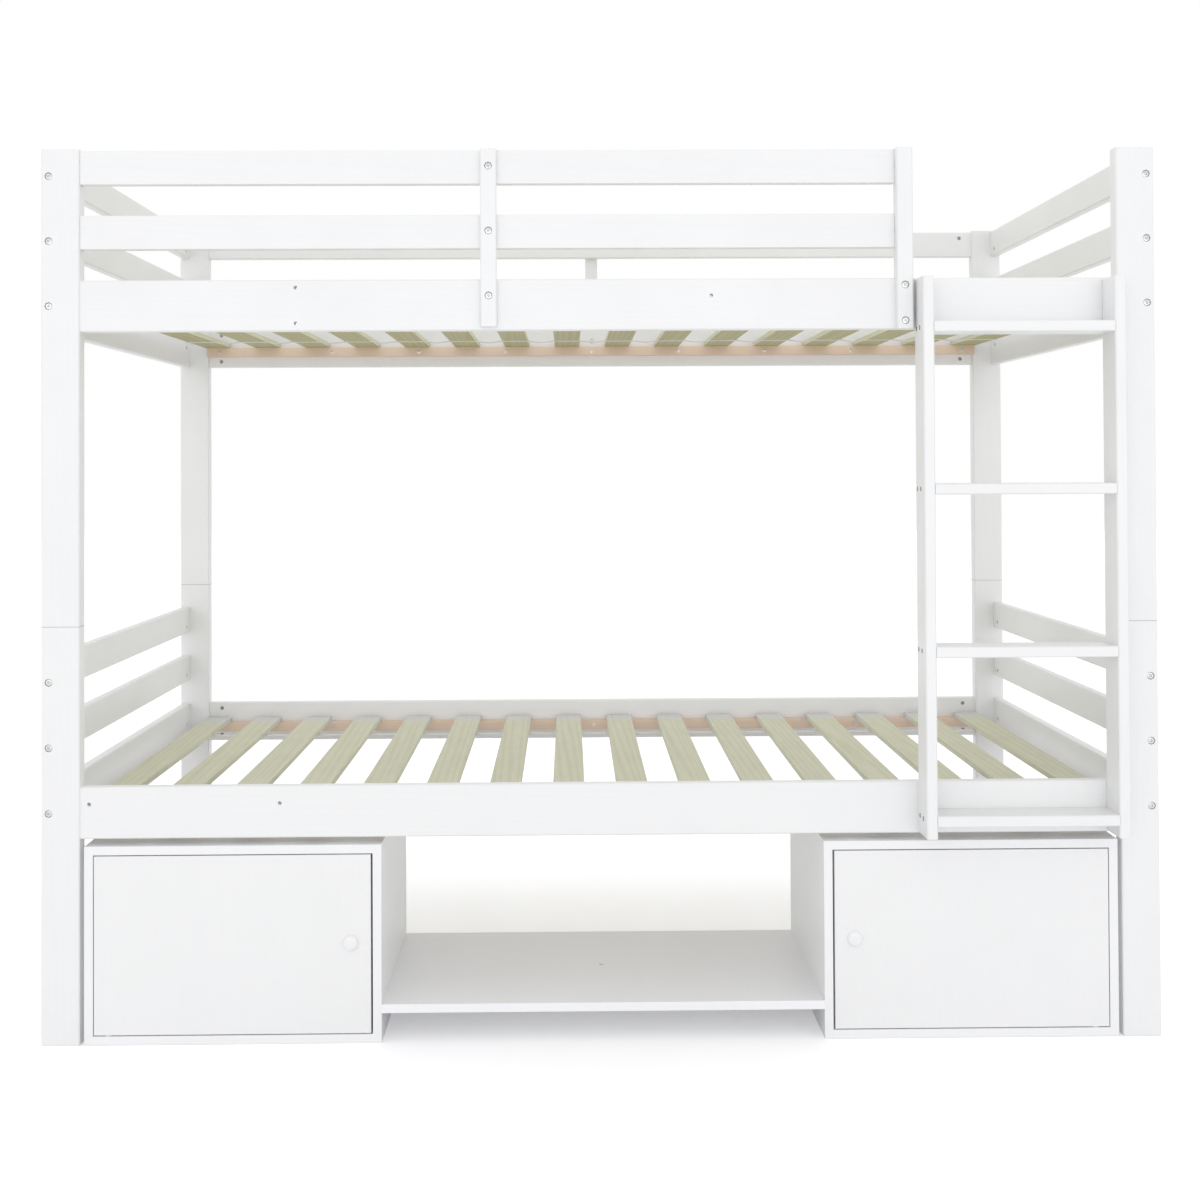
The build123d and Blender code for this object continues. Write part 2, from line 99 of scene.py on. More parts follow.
class Nodes:
    """A thin writer for node trees: adds nodes, sets values and links sockets."""

    def __init__(self, tree: bpy.types.NodeTree) -> None:
        """Starts writing in a tree."""
        self.tree = tree

    def feed(self, node: bpy.types.Node, inputs: Inputs) -> None:
        """Sets or links a node's inputs.

        Args:
            node: The node.
            inputs: Socket name or index to a value, or to an output socket to link.
        """
        for key, value in inputs.items():
            if isinstance(value, Socket):
                self.tree.links.new(value, node.inputs[key])
            else:
                node.inputs[key].default_value = value

    def add(self, kind: str, inputs: Inputs | None = None, **settings: object) -> bpy.types.Node:
        """Adds a node.

        Args:
            kind: The node's type name.
            inputs: Socket name or index to a value, or to an output socket to link.
            **settings: Properties of the node.

        Returns:
            The new node.
        """
        node = self.tree.nodes.new(kind)
        for name, value in settings.items():
            setattr(node, name, value)
        self.feed(node, inputs or {})
        return node

    def group(self, tree: bpy.types.NodeTree, inputs: Inputs) -> bpy.types.Node:
        """Adds a shared effect with its inputs set."""
        return self.add("ShaderNodeGroup", inputs, node_tree=tree)

    def math(self, operation: str, a: Value, b: Value = 0.0, clamp: bool = False) -> Socket:
        """Adds a Math node and gives its result."""
        node = self.add("ShaderNodeMath", {0: a, 1: b}, operation=operation, use_clamp=clamp)
        return node.outputs[0]

    def times(self, a: Value, b: Value) -> Socket:
        """Multiplies two values."""
        return self.math("MULTIPLY", a, b)

    def plus(self, a: Value, b: Value) -> Socket:
        """Adds two values."""
        return self.math("ADD", a, b)

    def vector(self, operation: str, a: Value, b: Value) -> Socket:
        """Adds a Vector Math node and gives its result."""
        node = self.add("ShaderNodeVectorMath", {0: a, 1: b}, operation=operation)
        return node.outputs["Value" if operation == "DOT_PRODUCT" else "Vector"]

    def axis(self, vector: Value, index: int) -> Socket:
        """Picks one of a vector's three numbers."""
        return self.add("ShaderNodeSeparateXYZ", {0: vector}).outputs[index]

    def level(self, value: Value) -> Socket:
        """A vector that has the same number three times."""
        return self.add("ShaderNodeCombineXYZ", {0: value, 1: value, 2: value}).outputs[0]

    def remap(self, value: Value, low: float, high: float, to_low: float = 0.0,
              to_high: float = 1.0) -> Socket:
        """Maps a value smoothly from one range to another.

        Args:
            value: The value.
            low: Start of its range.
            high: End of its range.
            to_low: Result at the start.
            to_high: Result at the end.

        Returns:
            The mapped value.
        """
        inputs = {"Value": value, "From Min": low, "From Max": high, "To Min": to_low,
                  "To Max": to_high}
        node = self.add("ShaderNodeMapRange", inputs, interpolation_type="SMOOTHSTEP")
        return node.outputs["Result"]

    def noise(self, vector: Value, scale: float, detail: float = 3.0,
              roughness: float = 0.55) -> Socket:
        """Adds a Noise Texture and gives its value."""
        inputs = {"Vector": vector, "Scale": scale, "Detail": detail, "Roughness": roughness}
        return self.add("ShaderNodeTexNoise", inputs).outputs["Fac"]

    def mix(self, factor: Value, a: Value, b: Value) -> Socket:
        """Mixes two colours.

        Args:
            factor: Share of the second colour.
            a: First colour, or a socket that gives it.
            b: Second colour, or a socket that gives it.

        Returns:
            The mixed colour.
        """
        node = self.add("ShaderNodeMix", {"Factor": factor}, data_type="RGBA")
        for index, value in ((6, a), (7, b)):
            self.feed(node, {index: value if isinstance(value, Socket) else (*value, 1.0)})
        return node.outputs[2]


def shader_group(name: str, numbers: dict[str, float],
                 outputs: Sequence[str]) -> tuple[Nodes, bpy.types.Node, bpy.types.Node]:
    """Starts a shader node group whose first input is a Vector.

    Args:
        name: The group's name.
        numbers: Its other inputs, with their defaults.
        outputs: Its outputs. Normal is a vector, and the others are numbers.

    Returns:
        A writer for the group, its input node and its output node.
    """
    tree = bpy.data.node_groups.new(name, "ShaderNodeTree")
    face = tree.interface
    face.new_socket("Vector", in_out="INPUT", socket_type="NodeSocketVector")
    for label, default in numbers.items():
        socket = face.new_socket(label, in_out="INPUT", socket_type="NodeSocketFloat")
        socket.default_value = default
    for label in outputs:
        kind = "NodeSocketVector" if label == "Normal" else "NodeSocketFloat"
        face.new_socket(label, in_out="OUTPUT", socket_type=kind)
    n = Nodes(tree)
    return n, n.add("NodeGroupInput"), n.add("NodeGroupOutput")


class EffectLibrary:
    """Shader effects that several finishes share. Each gives masks, values or heights."""

    def __init__(self) -> None:
        """Builds every effect once."""
        self.grain = self._grain()
        self.film = self._film()
        self.edges = self._edges()
        self.seam = self._seam()
        self.weave = self._weave()

    @staticmethod
    def _grain() -> bpy.types.NodeTree:
        """Year rings and fibres along a board, with a tint and a few knots.

        Returns:
            The group.
        """
        n, source, sink = shader_group(
            "timber_grain", {"Rings": 70.0, "Shift": 0.0}, ("Height", "Tint", "Knots"))
        place = n.vector("ADD", source.outputs["Vector"], n.level(source.outputs["Shift"]))
        wander = n.times(n.math("SUBTRACT", n.noise(place, scale=9.0, detail=2.0), 0.5), 0.035)
        bent = n.vector("ADD", place, n.level(wander))
        waves = {"Vector": bent, "Scale": source.outputs["Rings"], "Distortion": 1.7,
                 "Detail": 2.0, "Detail Scale": 1.6}
        rings = n.add("ShaderNodeTexWave", waves, wave_type="BANDS", bands_direction="DIAGONAL")
        late_wood = n.remap(rings.outputs["Fac"], 0.35, 0.95)
        fibre = n.noise(place, scale=900.0, detail=2.0, roughness=0.6)
        broad = n.noise(place, scale=28.0)
        height = n.plus(n.times(late_wood, 0.55), n.times(fibre, 0.45))
        tint = n.math("ADD", n.times(height, 0.75), n.times(broad, 0.25), clamp=True)
        cells = n.add("ShaderNodeTexVoronoi", {"Vector": place, "Scale": 7.0, "Randomness": 1.0},
                      feature="F1")
        draw = n.add("ShaderNodeTexWhiteNoise", {"Vector": cells.outputs["Position"]})
        near = n.remap(cells.outputs["Distance"], 0.02, 0.085, 1.0, 0.0)
        knots = n.times(near, n.math("GREATER_THAN", draw.outputs["Value"], 0.72))
        n.feed(sink, {"Height": height, "Tint": tint, "Knots": knots})
        return n.tree

    @staticmethod
    def _film() -> bpy.types.NodeTree:
        """The orange peel and faint mottling of a sprayed paint film.

        Returns:
            The group.
        """
        n, source, sink = shader_group("paint_film", {"Peel Scale": 420.0}, ("Height", "Mottle"))
        place = source.outputs["Vector"]
        cells = n.add("ShaderNodeTexVoronoi",
                      {"Vector": place, "Scale": source.outputs["Peel Scale"]},
                      feature="SMOOTH_F1")
        fine = n.noise(place, scale=1400.0, detail=1.0)
        peel = n.plus(n.times(cells.outputs["Distance"], 0.7), n.times(fine, 0.3))
        mottle = n.noise(place, scale=5.5, detail=4.0, roughness=0.6)
        n.feed(sink, {"Height": peel, "Mottle": mottle})
        return n.tree

    @staticmethod
    def _edges() -> bpy.types.NodeTree:
        """Rounded-edge normal, and a mask that is high on edges that hands and cloths rub.

        Returns:
            The group.
        """
        n, source, sink = shader_group("eased_edges", {"Radius": 0.0012}, ("Normal", "Rub"))
        bevel = n.add("ShaderNodeBevel", {"Radius": source.outputs["Radius"]}, samples=4)
        true = n.add("ShaderNodeNewGeometry").outputs["True Normal"]
        facing = n.vector("DOT_PRODUCT", bevel.outputs[0], true)
        edge = n.remap(facing, 0.70, 0.995, 1.0, 0.0)
        patches = n.noise(source.outputs["Vector"], scale=60.0, detail=4.0, roughness=0.7)
        rub = n.times(edge, n.remap(patches, 0.50, 0.72))
        n.feed(sink, {"Normal": bevel.outputs[0], "Rub": rub})
        return n.tree

    @staticmethod
    def _seam() -> bpy.types.NodeTree:
        """A thin level line where one piece stands on another.

        Returns:
            The group.
        """
        n, source, sink = shader_group(
            "level_seam", {"Level": 0.5, "Half Width": 0.0006}, ("Mask",))
        height = n.axis(source.outputs["Vector"], 2)
        away = n.math("ABSOLUTE", n.math("SUBTRACT", height, source.outputs["Level"]))
        ratio = n.math("DIVIDE", away, source.outputs["Half Width"])
        n.feed(sink, {"Mask": n.remap(ratio, 0.6, 1.6, 1.0, 0.0)})
        return n.tree

    @staticmethod
    def _weave() -> bpy.types.NodeTree:
        """Crossing threads of a narrow woven tape.

        Returns:
            The group.
        """
        n, source, sink = shader_group("tape_weave", {"Threads": 900.0}, ("Height",))
        inputs = {"Vector": source.outputs["Vector"], "Scale": source.outputs["Threads"]}
        warp, weft = (n.add("ShaderNodeTexWave", inputs, wave_type="BANDS", bands_direction=way)
                      for way in ("Y", "X"))
        n.feed(sink, {"Height": n.times(warp.outputs["Fac"], weft.outputs["Fac"])})
        return n.tree


@dataclass(frozen=True)
class Finish:
    """A material that is written once under its own name.

    Attributes:
        name: Name of the material.
        colour: Main colour, linear.
    """

    name: str
    colour: Colour

    def material(self, effects: EffectLibrary) -> bpy.types.Material:
        """Gives the material, written on first use.

        Args:
            effects: The shared effects.

        Returns:
            The material.
        """
        ready = bpy.data.materials.get(self.name)
        if ready:
            return ready
        made = bpy.data.materials.new(self.name)
        made.use_nodes = True
        made.diffuse_color = (*self.colour, 1.0)
        self.write(Nodes(made.node_tree), made.node_tree.nodes["Principled BSDF"], effects)
        log.info("finish %s", self.name)
        return made

    def write(self, n: Nodes, shader: bpy.types.Node, effects: EffectLibrary) -> None:
        """Fills the node tree. Each kind of finish has its own way."""
        raise NotImplementedError

    @staticmethod
    def place(n: Nodes, stretch: Colour = (1.0, 1.0, 1.0)) -> Socket:
        """Object coordinates in metres, scaled for a direction of grain."""
        return n.vector("MULTIPLY", n.add("ShaderNodeTexCoord").outputs["Object"], stretch)

    @staticmethod
    def bump(n: Nodes, shader: bpy.types.Node, height: Value, distance: float, strength: float,
             normal: Socket | None = None) -> None:
        """Links a height to the shader's normal through a Bump node.

        Args:
            n: Writer for the material's tree.
            shader: The material's own shader.
            height: The height, in metres after it is multiplied by the distance.
            distance: What the height is multiplied by.
            strength: Strength of the effect, from 0 to 1.
            normal: Normal to start from, or None for the surface's own.
        """
        inputs: Inputs = {"Height": height, "Distance": distance, "Strength": strength}
        if normal is not None:
            inputs["Normal"] = normal
        n.feed(shader, {"Normal": n.add("ShaderNodeBump", inputs).outputs[0]})


@dataclass(frozen=True)
class PaintedTimber(Finish):
    """Satin paint over planed timber, whose grain shows faintly through the film.

    Attributes:
        grain: The way the grain runs.
        seam: Height of a joint line across the piece, or None.
        relief: Height of the grain under the paint.
        peel_relief: Height of the paint's orange peel.
        edge_radius: Radius of the paint over an edge.
        seam_half_width: Half the width of the joint line.
        seam_shade_and_dirt_colour: Colour of the joint line: painted shade in the joint, and dirt.
    """

    grain: Grain = Grain.X
    seam: float | None = None
    relief: float = 0.03 * MM
    peel_relief: float = 0.018 * MM
    edge_radius: float = 0.6 * MM
    seam_half_width: float = 0.55 * MM
    seam_shade_and_dirt_colour: Colour = (0.22, 0.22, 0.21)

    def write(self, n: Nodes, shader: bpy.types.Node, effects: EffectLibrary) -> None:
        """Tints the paint by the grain, mottles it and dulls its rubbed edges.

        Args:
            n: Writer for the material's tree.
            shader: The material's own shader.
            effects: The shared effects.
        """
        place = self.place(n)
        along = self.place(n, self.grain.stretch(GRAIN_STRETCH))
        board = n.add("ShaderNodeNewGeometry").outputs["Random Per Island"]
        grain = n.group(effects.grain, {"Vector": along, "Rings": 60.0,
                                        "Shift": n.times(board, 9.0)})
        film = n.group(effects.film, {"Vector": place, "Peel Scale": 380.0})
        edges = n.group(effects.edges, {"Vector": place, "Radius": self.edge_radius})
        mottle = film.outputs["Mottle"]
        dull = darker(self.colour, 0.965)
        tinted = n.mix(n.remap(grain.outputs["Tint"], 0.25, 0.85, 0.0, 0.30), self.colour, dull)
        mottled = n.mix(n.remap(mottle, 0.35, 0.75, 0.0, 0.5), tinted, dull)
        worn = darker(self.colour, 0.93)
        colour = n.mix(n.times(edges.outputs["Rub"], 0.35), mottled, worn)
        # The joint line is painted shade in the joint, and dirt.
        if self.seam is not None:
            line = n.group(effects.seam, {"Vector": place, "Level": self.seam,
                                          "Half Width": self.seam_half_width})
            colour = n.mix(n.times(line.outputs["Mask"], 0.6), colour, self.seam_shade_and_dirt_colour)
        n.feed(shader, {"Base Color": colour, "Roughness": n.remap(mottle, 0.3, 0.7, 0.36, 0.46)})
        height = n.plus(n.times(grain.outputs["Height"], self.relief),
                        n.times(film.outputs["Height"], self.peel_relief))
        self.bump(n, shader, height, 1.0, 0.9, edges.outputs["Normal"])


@dataclass(frozen=True)
class PaintedBoard(Finish):
    """Smooth white foil on particle board: a finer, flatter film than on timber.

    Attributes:
        relief: Height of the foil's streaks and of its peel.
        edge_radius: Radius of the foil over an edge.
    """

    relief: float = 0.012 * MM
    edge_radius: float = 0.6 * MM

    def write(self, n: Nodes, shader: bpy.types.Node, effects: EffectLibrary) -> None:
        """Mottles and streaks the foil and dulls its rubbed edges.

        Args:
            n: Writer for the material's tree.
            shader: The material's own shader.
            effects: The shared effects.
        """
        place = self.place(n)
        film = n.group(effects.film, {"Vector": place, "Peel Scale": 650.0})
        edges = n.group(effects.edges, {"Vector": place, "Radius": self.edge_radius})
        streaks = n.noise(self.place(n, (1.0, 1.0, 0.06)), scale=260.0, detail=2.0)
        dull = darker(self.colour, 0.975)
        mottled = n.mix(n.remap(film.outputs["Mottle"], 0.35, 0.75, 0.0, 0.6), self.colour, dull)
        streaked = n.mix(n.remap(streaks, 0.35, 0.7, 0.0, 0.35), mottled, dull)
        rubbed = darker(self.colour, 0.92)
        n.feed(shader, {
            "Base Color": n.mix(n.times(edges.outputs["Rub"], 0.4), streaked, rubbed),
            "Roughness": n.remap(streaks, 0.3, 0.7, 0.40, 0.47)})
        height = n.plus(n.times(streaks, self.relief),
                        n.times(film.outputs["Height"], self.relief))
        self.bump(n, shader, height, 1.0, 0.8, edges.outputs["Normal"])


@dataclass(frozen=True)
class RawTimber(Finish):
    """Planed, unpainted timber.

    Attributes:
        dark: Colour of the late wood.
        grain: The way the grain runs.
        rings: Closeness of the year rings.
        contrast: How strongly the late wood shows, from 0 to 1.
        streaks: How strongly long darker flames show, from 0 to 1.
        knots: How strongly knots show, from 0 to 1.
        underside_shade: Painted shade: colour of the faces that look down, or None.
        grey_ends: Whether the far ends of the boards are greyed towards a pale colour.
        grey_end_colour: Colour of the grey ends.
        grey_ends_middle: Where the middle of the boards lies along Y.
        grey_ends_reach: How far from the middle the grey ends start.
        relief: Height of the grain.
        edge_radius: Radius of the boards' edges.
    """

    dark: Colour
    grain: Grain
    rings: float
    contrast: float
    streaks: float
    knots: float
    underside_shade: Colour | None = None
    grey_ends: bool = False
    grey_end_colour: Colour = (0.62, 0.62, 0.61)
    grey_ends_middle: float = 26.0 * MM
    grey_ends_reach: float = 379.0 * MM
    relief: float = 0.12 * MM
    edge_radius: float = 0.8 * MM

    def write(self, n: Nodes, shader: bpy.types.Node, effects: EffectLibrary) -> None:
        """Colours the timber by grain, board, flames and knots, paints shade on its undersides and
        greys its ends.

        Args:
            n: Writer for the material's tree.
            shader: The material's own shader.
            effects: The shared effects.
        """
        place = self.place(n)
        along = self.place(n, self.grain.stretch(GRAIN_STRETCH))
        board = n.add("ShaderNodeNewGeometry").outputs["Random Per Island"]
        grain = n.group(effects.grain, {"Vector": along, "Rings": self.rings,
                                        "Shift": n.times(board, 23.0)})
        edges = n.group(effects.edges, {"Vector": place, "Radius": self.edge_radius})
        tint = grain.outputs["Tint"]
        tinted = n.mix(n.remap(tint, 0.25, 0.9, 0.0, self.contrast), self.colour, self.dark)
        varied = n.mix(n.remap(board, 0.0, 1.0, 0.0, 0.30 * self.contrast), tinted, self.dark)
        flames = n.noise(self.place(n, self.grain.stretch(FLAME_STRETCH)), scale=46.0,
                         detail=4.0, roughness=0.7)
        flamed = n.mix(n.remap(flames, 0.40, 0.62, 0.0, self.streaks), varied,
                       darker(self.dark, 0.8))
        colour = n.mix(n.times(grain.outputs["Knots"], self.knots), flamed,
                       darker(self.dark, 0.38))
        # Painted shade: faces that look down take the darker underside colour.
        if self.underside_shade is not None:
            facing = n.axis(n.add("ShaderNodeNewGeometry").outputs["Normal"], 2)
            colour = n.mix(n.remap(facing, -0.8, -0.2, 0.9, 0.0), colour, self.underside_shade)
        # The far ends of the boards are greyed towards a pale colour.
        if self.grey_ends:
            away = n.math("ABSOLUTE", n.math("SUBTRACT", n.axis(place, 1), self.grey_ends_middle))
            ragged = n.plus(away, n.times(grain.outputs["Height"], 4.0 * MM))
            pale = n.remap(ragged, self.grey_ends_reach - 7.0 * MM, self.grey_ends_reach + 7.0 * MM,
                           0.0, 0.85)
            colour = n.mix(pale, colour, self.grey_end_colour)
        n.feed(shader, {"Base Color": colour, "Roughness": n.remap(tint, 0.2, 0.8, 0.55, 0.72)})
        self.bump(n, shader, n.times(grain.outputs["Height"], self.relief), 1.0, 0.9,
                  edges.outputs["Normal"])


@dataclass(frozen=True)
class Plated(Finish):
    """Zinc plate on steel, with fine scratches and a cloudy sheen.

    Attributes:
        roughness: Mean roughness.
        relief: Depth of the scratches.
    """

    roughness: float = 0.30
    relief: float = 0.006 * MM

    def write(self, n: Nodes, shader: bpy.types.Node, effects: EffectLibrary) -> None:
        """Clouds the plate and scratches it.

        Args:
            n: Writer for the material's tree.
            shader: The material's own shader.
            effects: The shared effects.
        """
        cloud = n.noise(self.place(n), scale=240.0, detail=4.0, roughness=0.65)
        scratch = n.noise(self.place(n, (1.0, 0.12, 1.0)), scale=2600.0, detail=2.0)
        n.feed(shader, {
            "Base Color": n.mix(n.remap(cloud, 0.3, 0.75, 0.0, 0.7), self.colour,
                                darker(self.colour, 0.72)),
            "Metallic": 1.0,
            "Roughness": n.remap(cloud, 0.3, 0.7, self.roughness - 0.06, self.roughness + 0.10)})
        self.bump(n, shader, scratch, self.relief, 0.6)


@dataclass(frozen=True)
class Moulded(Finish):
    """Lacquered or moulded small parts.

    Attributes:
        roughness: Mean roughness.
        coat: Weight of a clear coat.
        relief: Height of the surface's peel.
    """

    roughness: float = 0.35
    coat: float = 0.0
    relief: float = 0.01 * MM

    def write(self, n: Nodes, shader: bpy.types.Node, effects: EffectLibrary) -> None:
        """Mottles the colour and the sheen.

        Args:
            n: Writer for the material's tree.
            shader: The material's own shader.
            effects: The shared effects.
        """
        film = n.group(effects.film, {"Vector": self.place(n), "Peel Scale": 700.0})
        mottle = film.outputs["Mottle"]
        n.feed(shader, {
            "Base Color": n.mix(n.remap(mottle, 0.3, 0.7, 0.0, 0.6), self.colour,
                                darker(self.colour, 0.95)),
            "Roughness": n.remap(mottle, 0.3, 0.7, self.roughness - 0.05, self.roughness + 0.05),
            "Coat Weight": self.coat})
        self.bump(n, shader, film.outputs["Height"], self.relief, 0.7)


@dataclass(frozen=True)
class Webbing(Finish):
    """White woven polyester tape, with painted shade between its threads.

    Attributes:
        relief: Height of the threads.
    """

    relief: float = 0.18 * MM

    def write(self, n: Nodes, shader: bpy.types.Node, effects: EffectLibrary) -> None:
        """Weaves the tape and adds a little fuzz.

        Args:
            n: Writer for the material's tree.
            shader: The material's own shader.
            effects: The shared effects.
        """
        place = self.place(n)
        weave = n.group(effects.weave, {"Vector": place, "Threads": 520.0}).outputs["Height"]
        fuzz = n.noise(place, scale=1500.0, detail=2.0)
        # Painted shade: the colour darkens between the threads.
        n.feed(shader, {
            "Base Color": n.mix(n.remap(weave, 0.1, 0.8, 0.8, 0.0), self.colour,
                                darker(self.colour, 0.82)),
            "Roughness": 0.85,
            "Sheen Weight": 0.25})
        self.bump(n, shader, n.plus(weave, n.times(fuzz, 0.3)), self.relief, 0.9)


PAINT: Colour = (0.826, 0.829, 0.834)


@dataclass(frozen=True)
class Palette:
    """Every finish of the bed, by use."""

    timber_x: Finish = PaintedTimber("paint_on_timber_x", PAINT, Grain.X)
    timber_y: Finish = PaintedTimber("paint_on_timber_y", PAINT, Grain.Y)
    timber_z: Finish = PaintedTimber("paint_on_timber_z", PAINT, Grain.Z)
    # The posts' joint line is painted shade in the joint, and dirt.
    post: Finish = PaintedTimber("paint_on_posts", PAINT, Grain.Z, seam=POST_SEAM_M)
    # Painted light: the carcass and shelf foils are brighter and cooler than the door foil, to
    # lift these shaded inner parts and offset the warm light bounced from the slats.
    board: Finish = PaintedBoard("foil_on_board", (0.828, 0.830, 0.834))
    carcass_painted_light: Finish = PaintedBoard("foil_on_carcass", (0.850, 0.853, 0.866))
    shelf: Finish = PaintedBoard("foil_on_shelf_painted_light", (0.880, 0.884, 0.906))
    # The slats' underside colours are painted shade.
    slat_lower: Finish = RawTimber(
        "slat_timber_lower", (0.625, 0.625, 0.475), dark=(0.50, 0.492, 0.345), grain=Grain.Y,
        rings=42.0, contrast=0.20, streaks=0.12, knots=0.06, underside_shade=(0.40, 0.37, 0.22),
        grey_ends=True)
    slat_upper: Finish = RawTimber(
        "slat_timber_upper", (0.66, 0.655, 0.475), dark=(0.52, 0.50, 0.33), grain=Grain.Y,
        rings=42.0, contrast=0.28, streaks=0.20, knots=0.06, underside_shade=(0.385, 0.352, 0.155))
    ledger: Finish = RawTimber(
        "ledger_pine", (0.635, 0.49, 0.27), dark=(0.42, 0.25, 0.095), grain=Grain.X,
        rings=24.0, contrast=0.9, streaks=0.6, knots=0.5)
    zinc: Finish = Plated("zinc_plate", (0.65, 0.65, 0.64))
    nut_zinc: Finish = Plated("cross_nut_zinc", (0.36, 0.355, 0.345), 0.36)
    dark_zinc: Finish = Plated("screw_steel", (0.22, 0.215, 0.205), 0.42)
    knob: Finish = Moulded("knob_lacquer", (0.836, 0.838, 0.846), 0.32, 0.25)
    nylon: Finish = Moulded("natural_nylon", (0.78, 0.77, 0.72), 0.5)
    foot: Finish = Moulded("white_foot", (0.76, 0.76, 0.74), 0.45)
    tape: Finish = Webbing("woven_tape", (0.78, 0.78, 0.76))


def hexagon(inradius: float) -> Callable[[float], float]:
    """Radius of a hexagonal recess at an angle.

    Args:
        inradius: Half the recess's width across flats.

    Returns:
        A function from angle to radius.
    """

    def radius(angle: float) -> float:
        """Distance from the axis to the flat at this angle."""
        return inradius / math.cos((angle + math.pi / 6) % (math.pi / 3) - math.pi / 6)

    return radius


def cross(half_length: float, half_width: float) -> Callable[[float], float]:
    """Radius of a cross-shaped recess at an angle.

    Args:
        half_length: Length of an arm.
        half_width: Half the width of an arm.

    Returns:
        A function from angle to radius.
    """

    def radius(angle: float) -> float:
        """Distance from the axis to the recess's wall at this angle."""
        off_arm = abs((angle + math.pi / 4) % (math.pi / 2) - math.pi / 4)
        return min(half_length / math.cos(off_arm), half_width / max(math.sin(off_arm), 1e-6))

    return radius


def slot(half_length: float, half_width: float) -> Callable[[float], float]:
    """Radius of a straight screwdriver slot at an angle.

    Args:
        half_length: Half the slot's length.
        half_width: Half its width.

    Returns:
        A function from angle to radius.
    """

    def radius(angle: float) -> float:
        """Distance from the axis to the slot's wall at this angle."""
        return min(half_length / max(abs(math.cos(angle)), 1e-6),
                   half_width / max(abs(math.sin(angle)), 1e-6))

    return radius


def lathe(name: str, rings: Sequence[Ring], sides: int = 48,
          smooth_deg: float = TURNED_SMOOTH_DEG) -> bpy.types.Mesh:
    """A closed turned form about Z, from rings of one radius or of a radius for each angle.

    Args:
        name: Name of the mesh.
        rings: Radius and height of each ring, from one end to the other.
        sides: Number of points on a ring.
        smooth_deg: Edges sharper than this stay sharp.

    Returns:
        The mesh, closed at both ends.
    """
    form = bmesh.new()
    loops = []
    for radius, height in rings:
        loop = []
        for step in range(sides):
            angle = 2 * math.pi * step / sides
            reach = radius(angle) if callable(radius) else radius
            loop.append(form.verts.new((reach * math.cos(angle), reach * math.sin(angle), height)))
        loops.append(loop)
    return finish_mesh(skin(form, loops), name, smooth_deg)


def skin(form: bmesh.types.BMesh, loops: Sequence[Sequence[bmesh.types.BMVert]]
         ) -> bmesh.types.BMesh:
    """Closes a row of loops of points into a solid whose faces point outwards.

    Args:
        form: The bmesh that holds the points.
        loops: Loops with equal numbers of points, from one end to the other.

    Returns:
        The same bmesh.
    """
    for low, high in zip(loops, loops[1:]):
        for i in range(len(low)):
            j = (i + 1) % len(low)
            form.faces.new((low[i], low[j], high[j], high[i]))
    form.faces.new(list(reversed(loops[0])))
    form.faces.new(loops[-1])
    bmesh.ops.recalc_face_normals(form, faces=form.faces)
    return form


def finish_mesh(form: bmesh.types.BMesh, name: str, smooth_deg: float) -> bpy.types.Mesh:
    """Writes a bmesh to a mesh with smooth faces, and frees it.

    Args:
        form: The bmesh.
        name: Name of the mesh.
        smooth_deg: Edges sharper than this stay sharp.

    Returns:
        The mesh.
    """
    for face in form.faces:
        face.smooth = True
    limit = math.radians(smooth_deg)
    for edge in form.edges:
        edge.smooth = len(edge.link_faces) == 2 and edge.calc_face_angle(0.0) < limit
    mesh = bpy.data.meshes.new(name)
    form.to_mesh(mesh)
    form.free()
    return mesh


def plank(name: str, size: Vector, ease: float, segments: int = 3) -> bpy.types.Mesh:
    """A board about the origin with rounded edges.

    Args:
        name: Name of the mesh.
        size: Length along X, Y and Z.
        ease: Radius of the edges.
        segments: Facets across an edge.

    Returns:
        The mesh.
    """
    form = bmesh.new()
    bmesh.ops.create_cube(form, size=1.0)
    bmesh.ops.scale(form, vec=size, verts=form.verts)
    bmesh.ops.bevel(form, geom=list(form.edges), offset=ease, segments=segments, profile=0.5,
                    affect="EDGES", clamp_overlap=True)
    return finish_mesh(form, name, BOARD_SMOOTH_DEG)


def link(obj: bpy.types.Object) -> bpy.types.Object:
    """Puts an object in the scene."""
    bpy.context.scene.collection.objects.link(obj)
    return obj


def applied(obj: bpy.types.Object) -> bpy.types.Mesh:
    """A plain mesh of an object with its modifiers applied.

    Args:
        obj: The object.

    Returns:
        The new mesh.
    """
    bpy.context.view_layer.update()
    graph = bpy.context.evaluated_depsgraph_get()
    return bpy.data.meshes.new_from_object(obj.evaluated_get(graph))


@dataclass(frozen=True)
class Island:
    """One loose solid of a CAD node.

    Attributes:
        low: Lowest corner.
        high: Highest corner.
        heading: Unit vector from the solid's thin end to its thick one, along its longest side.
    """

    low: Vector
    high: Vector
    heading: Vector

    @property
    def centre(self) -> Vector:
        """The middle of the solid's box."""
        return (self.low + self.high) / 2

    @property
    def size(self) -> Vector:
        """The size of the solid's box."""
        return self.high - self.low

    @property
    def head(self) -> Vector:
        """The middle of the thick end."""
        return self.centre + self.heading * (max(self.size) / 2)


def islands(node: str) -> list[Island]:
    """Finds the loose solids of a CAD node.

    Args:
        node: Name of the node.

    Returns:
        The solids, in order of X, then Y, then Z.
    """
    form = bmesh.new()
    form.from_mesh(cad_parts[node].data)
    bmesh.ops.remove_doubles(form, verts=form.verts, dist=1e-6)
    seen: set[bmesh.types.BMVert] = set()
    found = []
    for start in form.verts:
        if start in seen:
            continue
        stack, members = [start], []
        seen.add(start)
        while stack:
            vert = stack.pop()
            members.append(vert.co.copy())
            for edge in vert.link_edges:
                other = edge.other_vert(vert)
                if other not in seen:
                    seen.add(other)
                    stack.append(other)
        found.append(describe(members))
    form.free()
    return sorted(found, key=lambda one: tuple(round(part, 4) for part in one.centre))


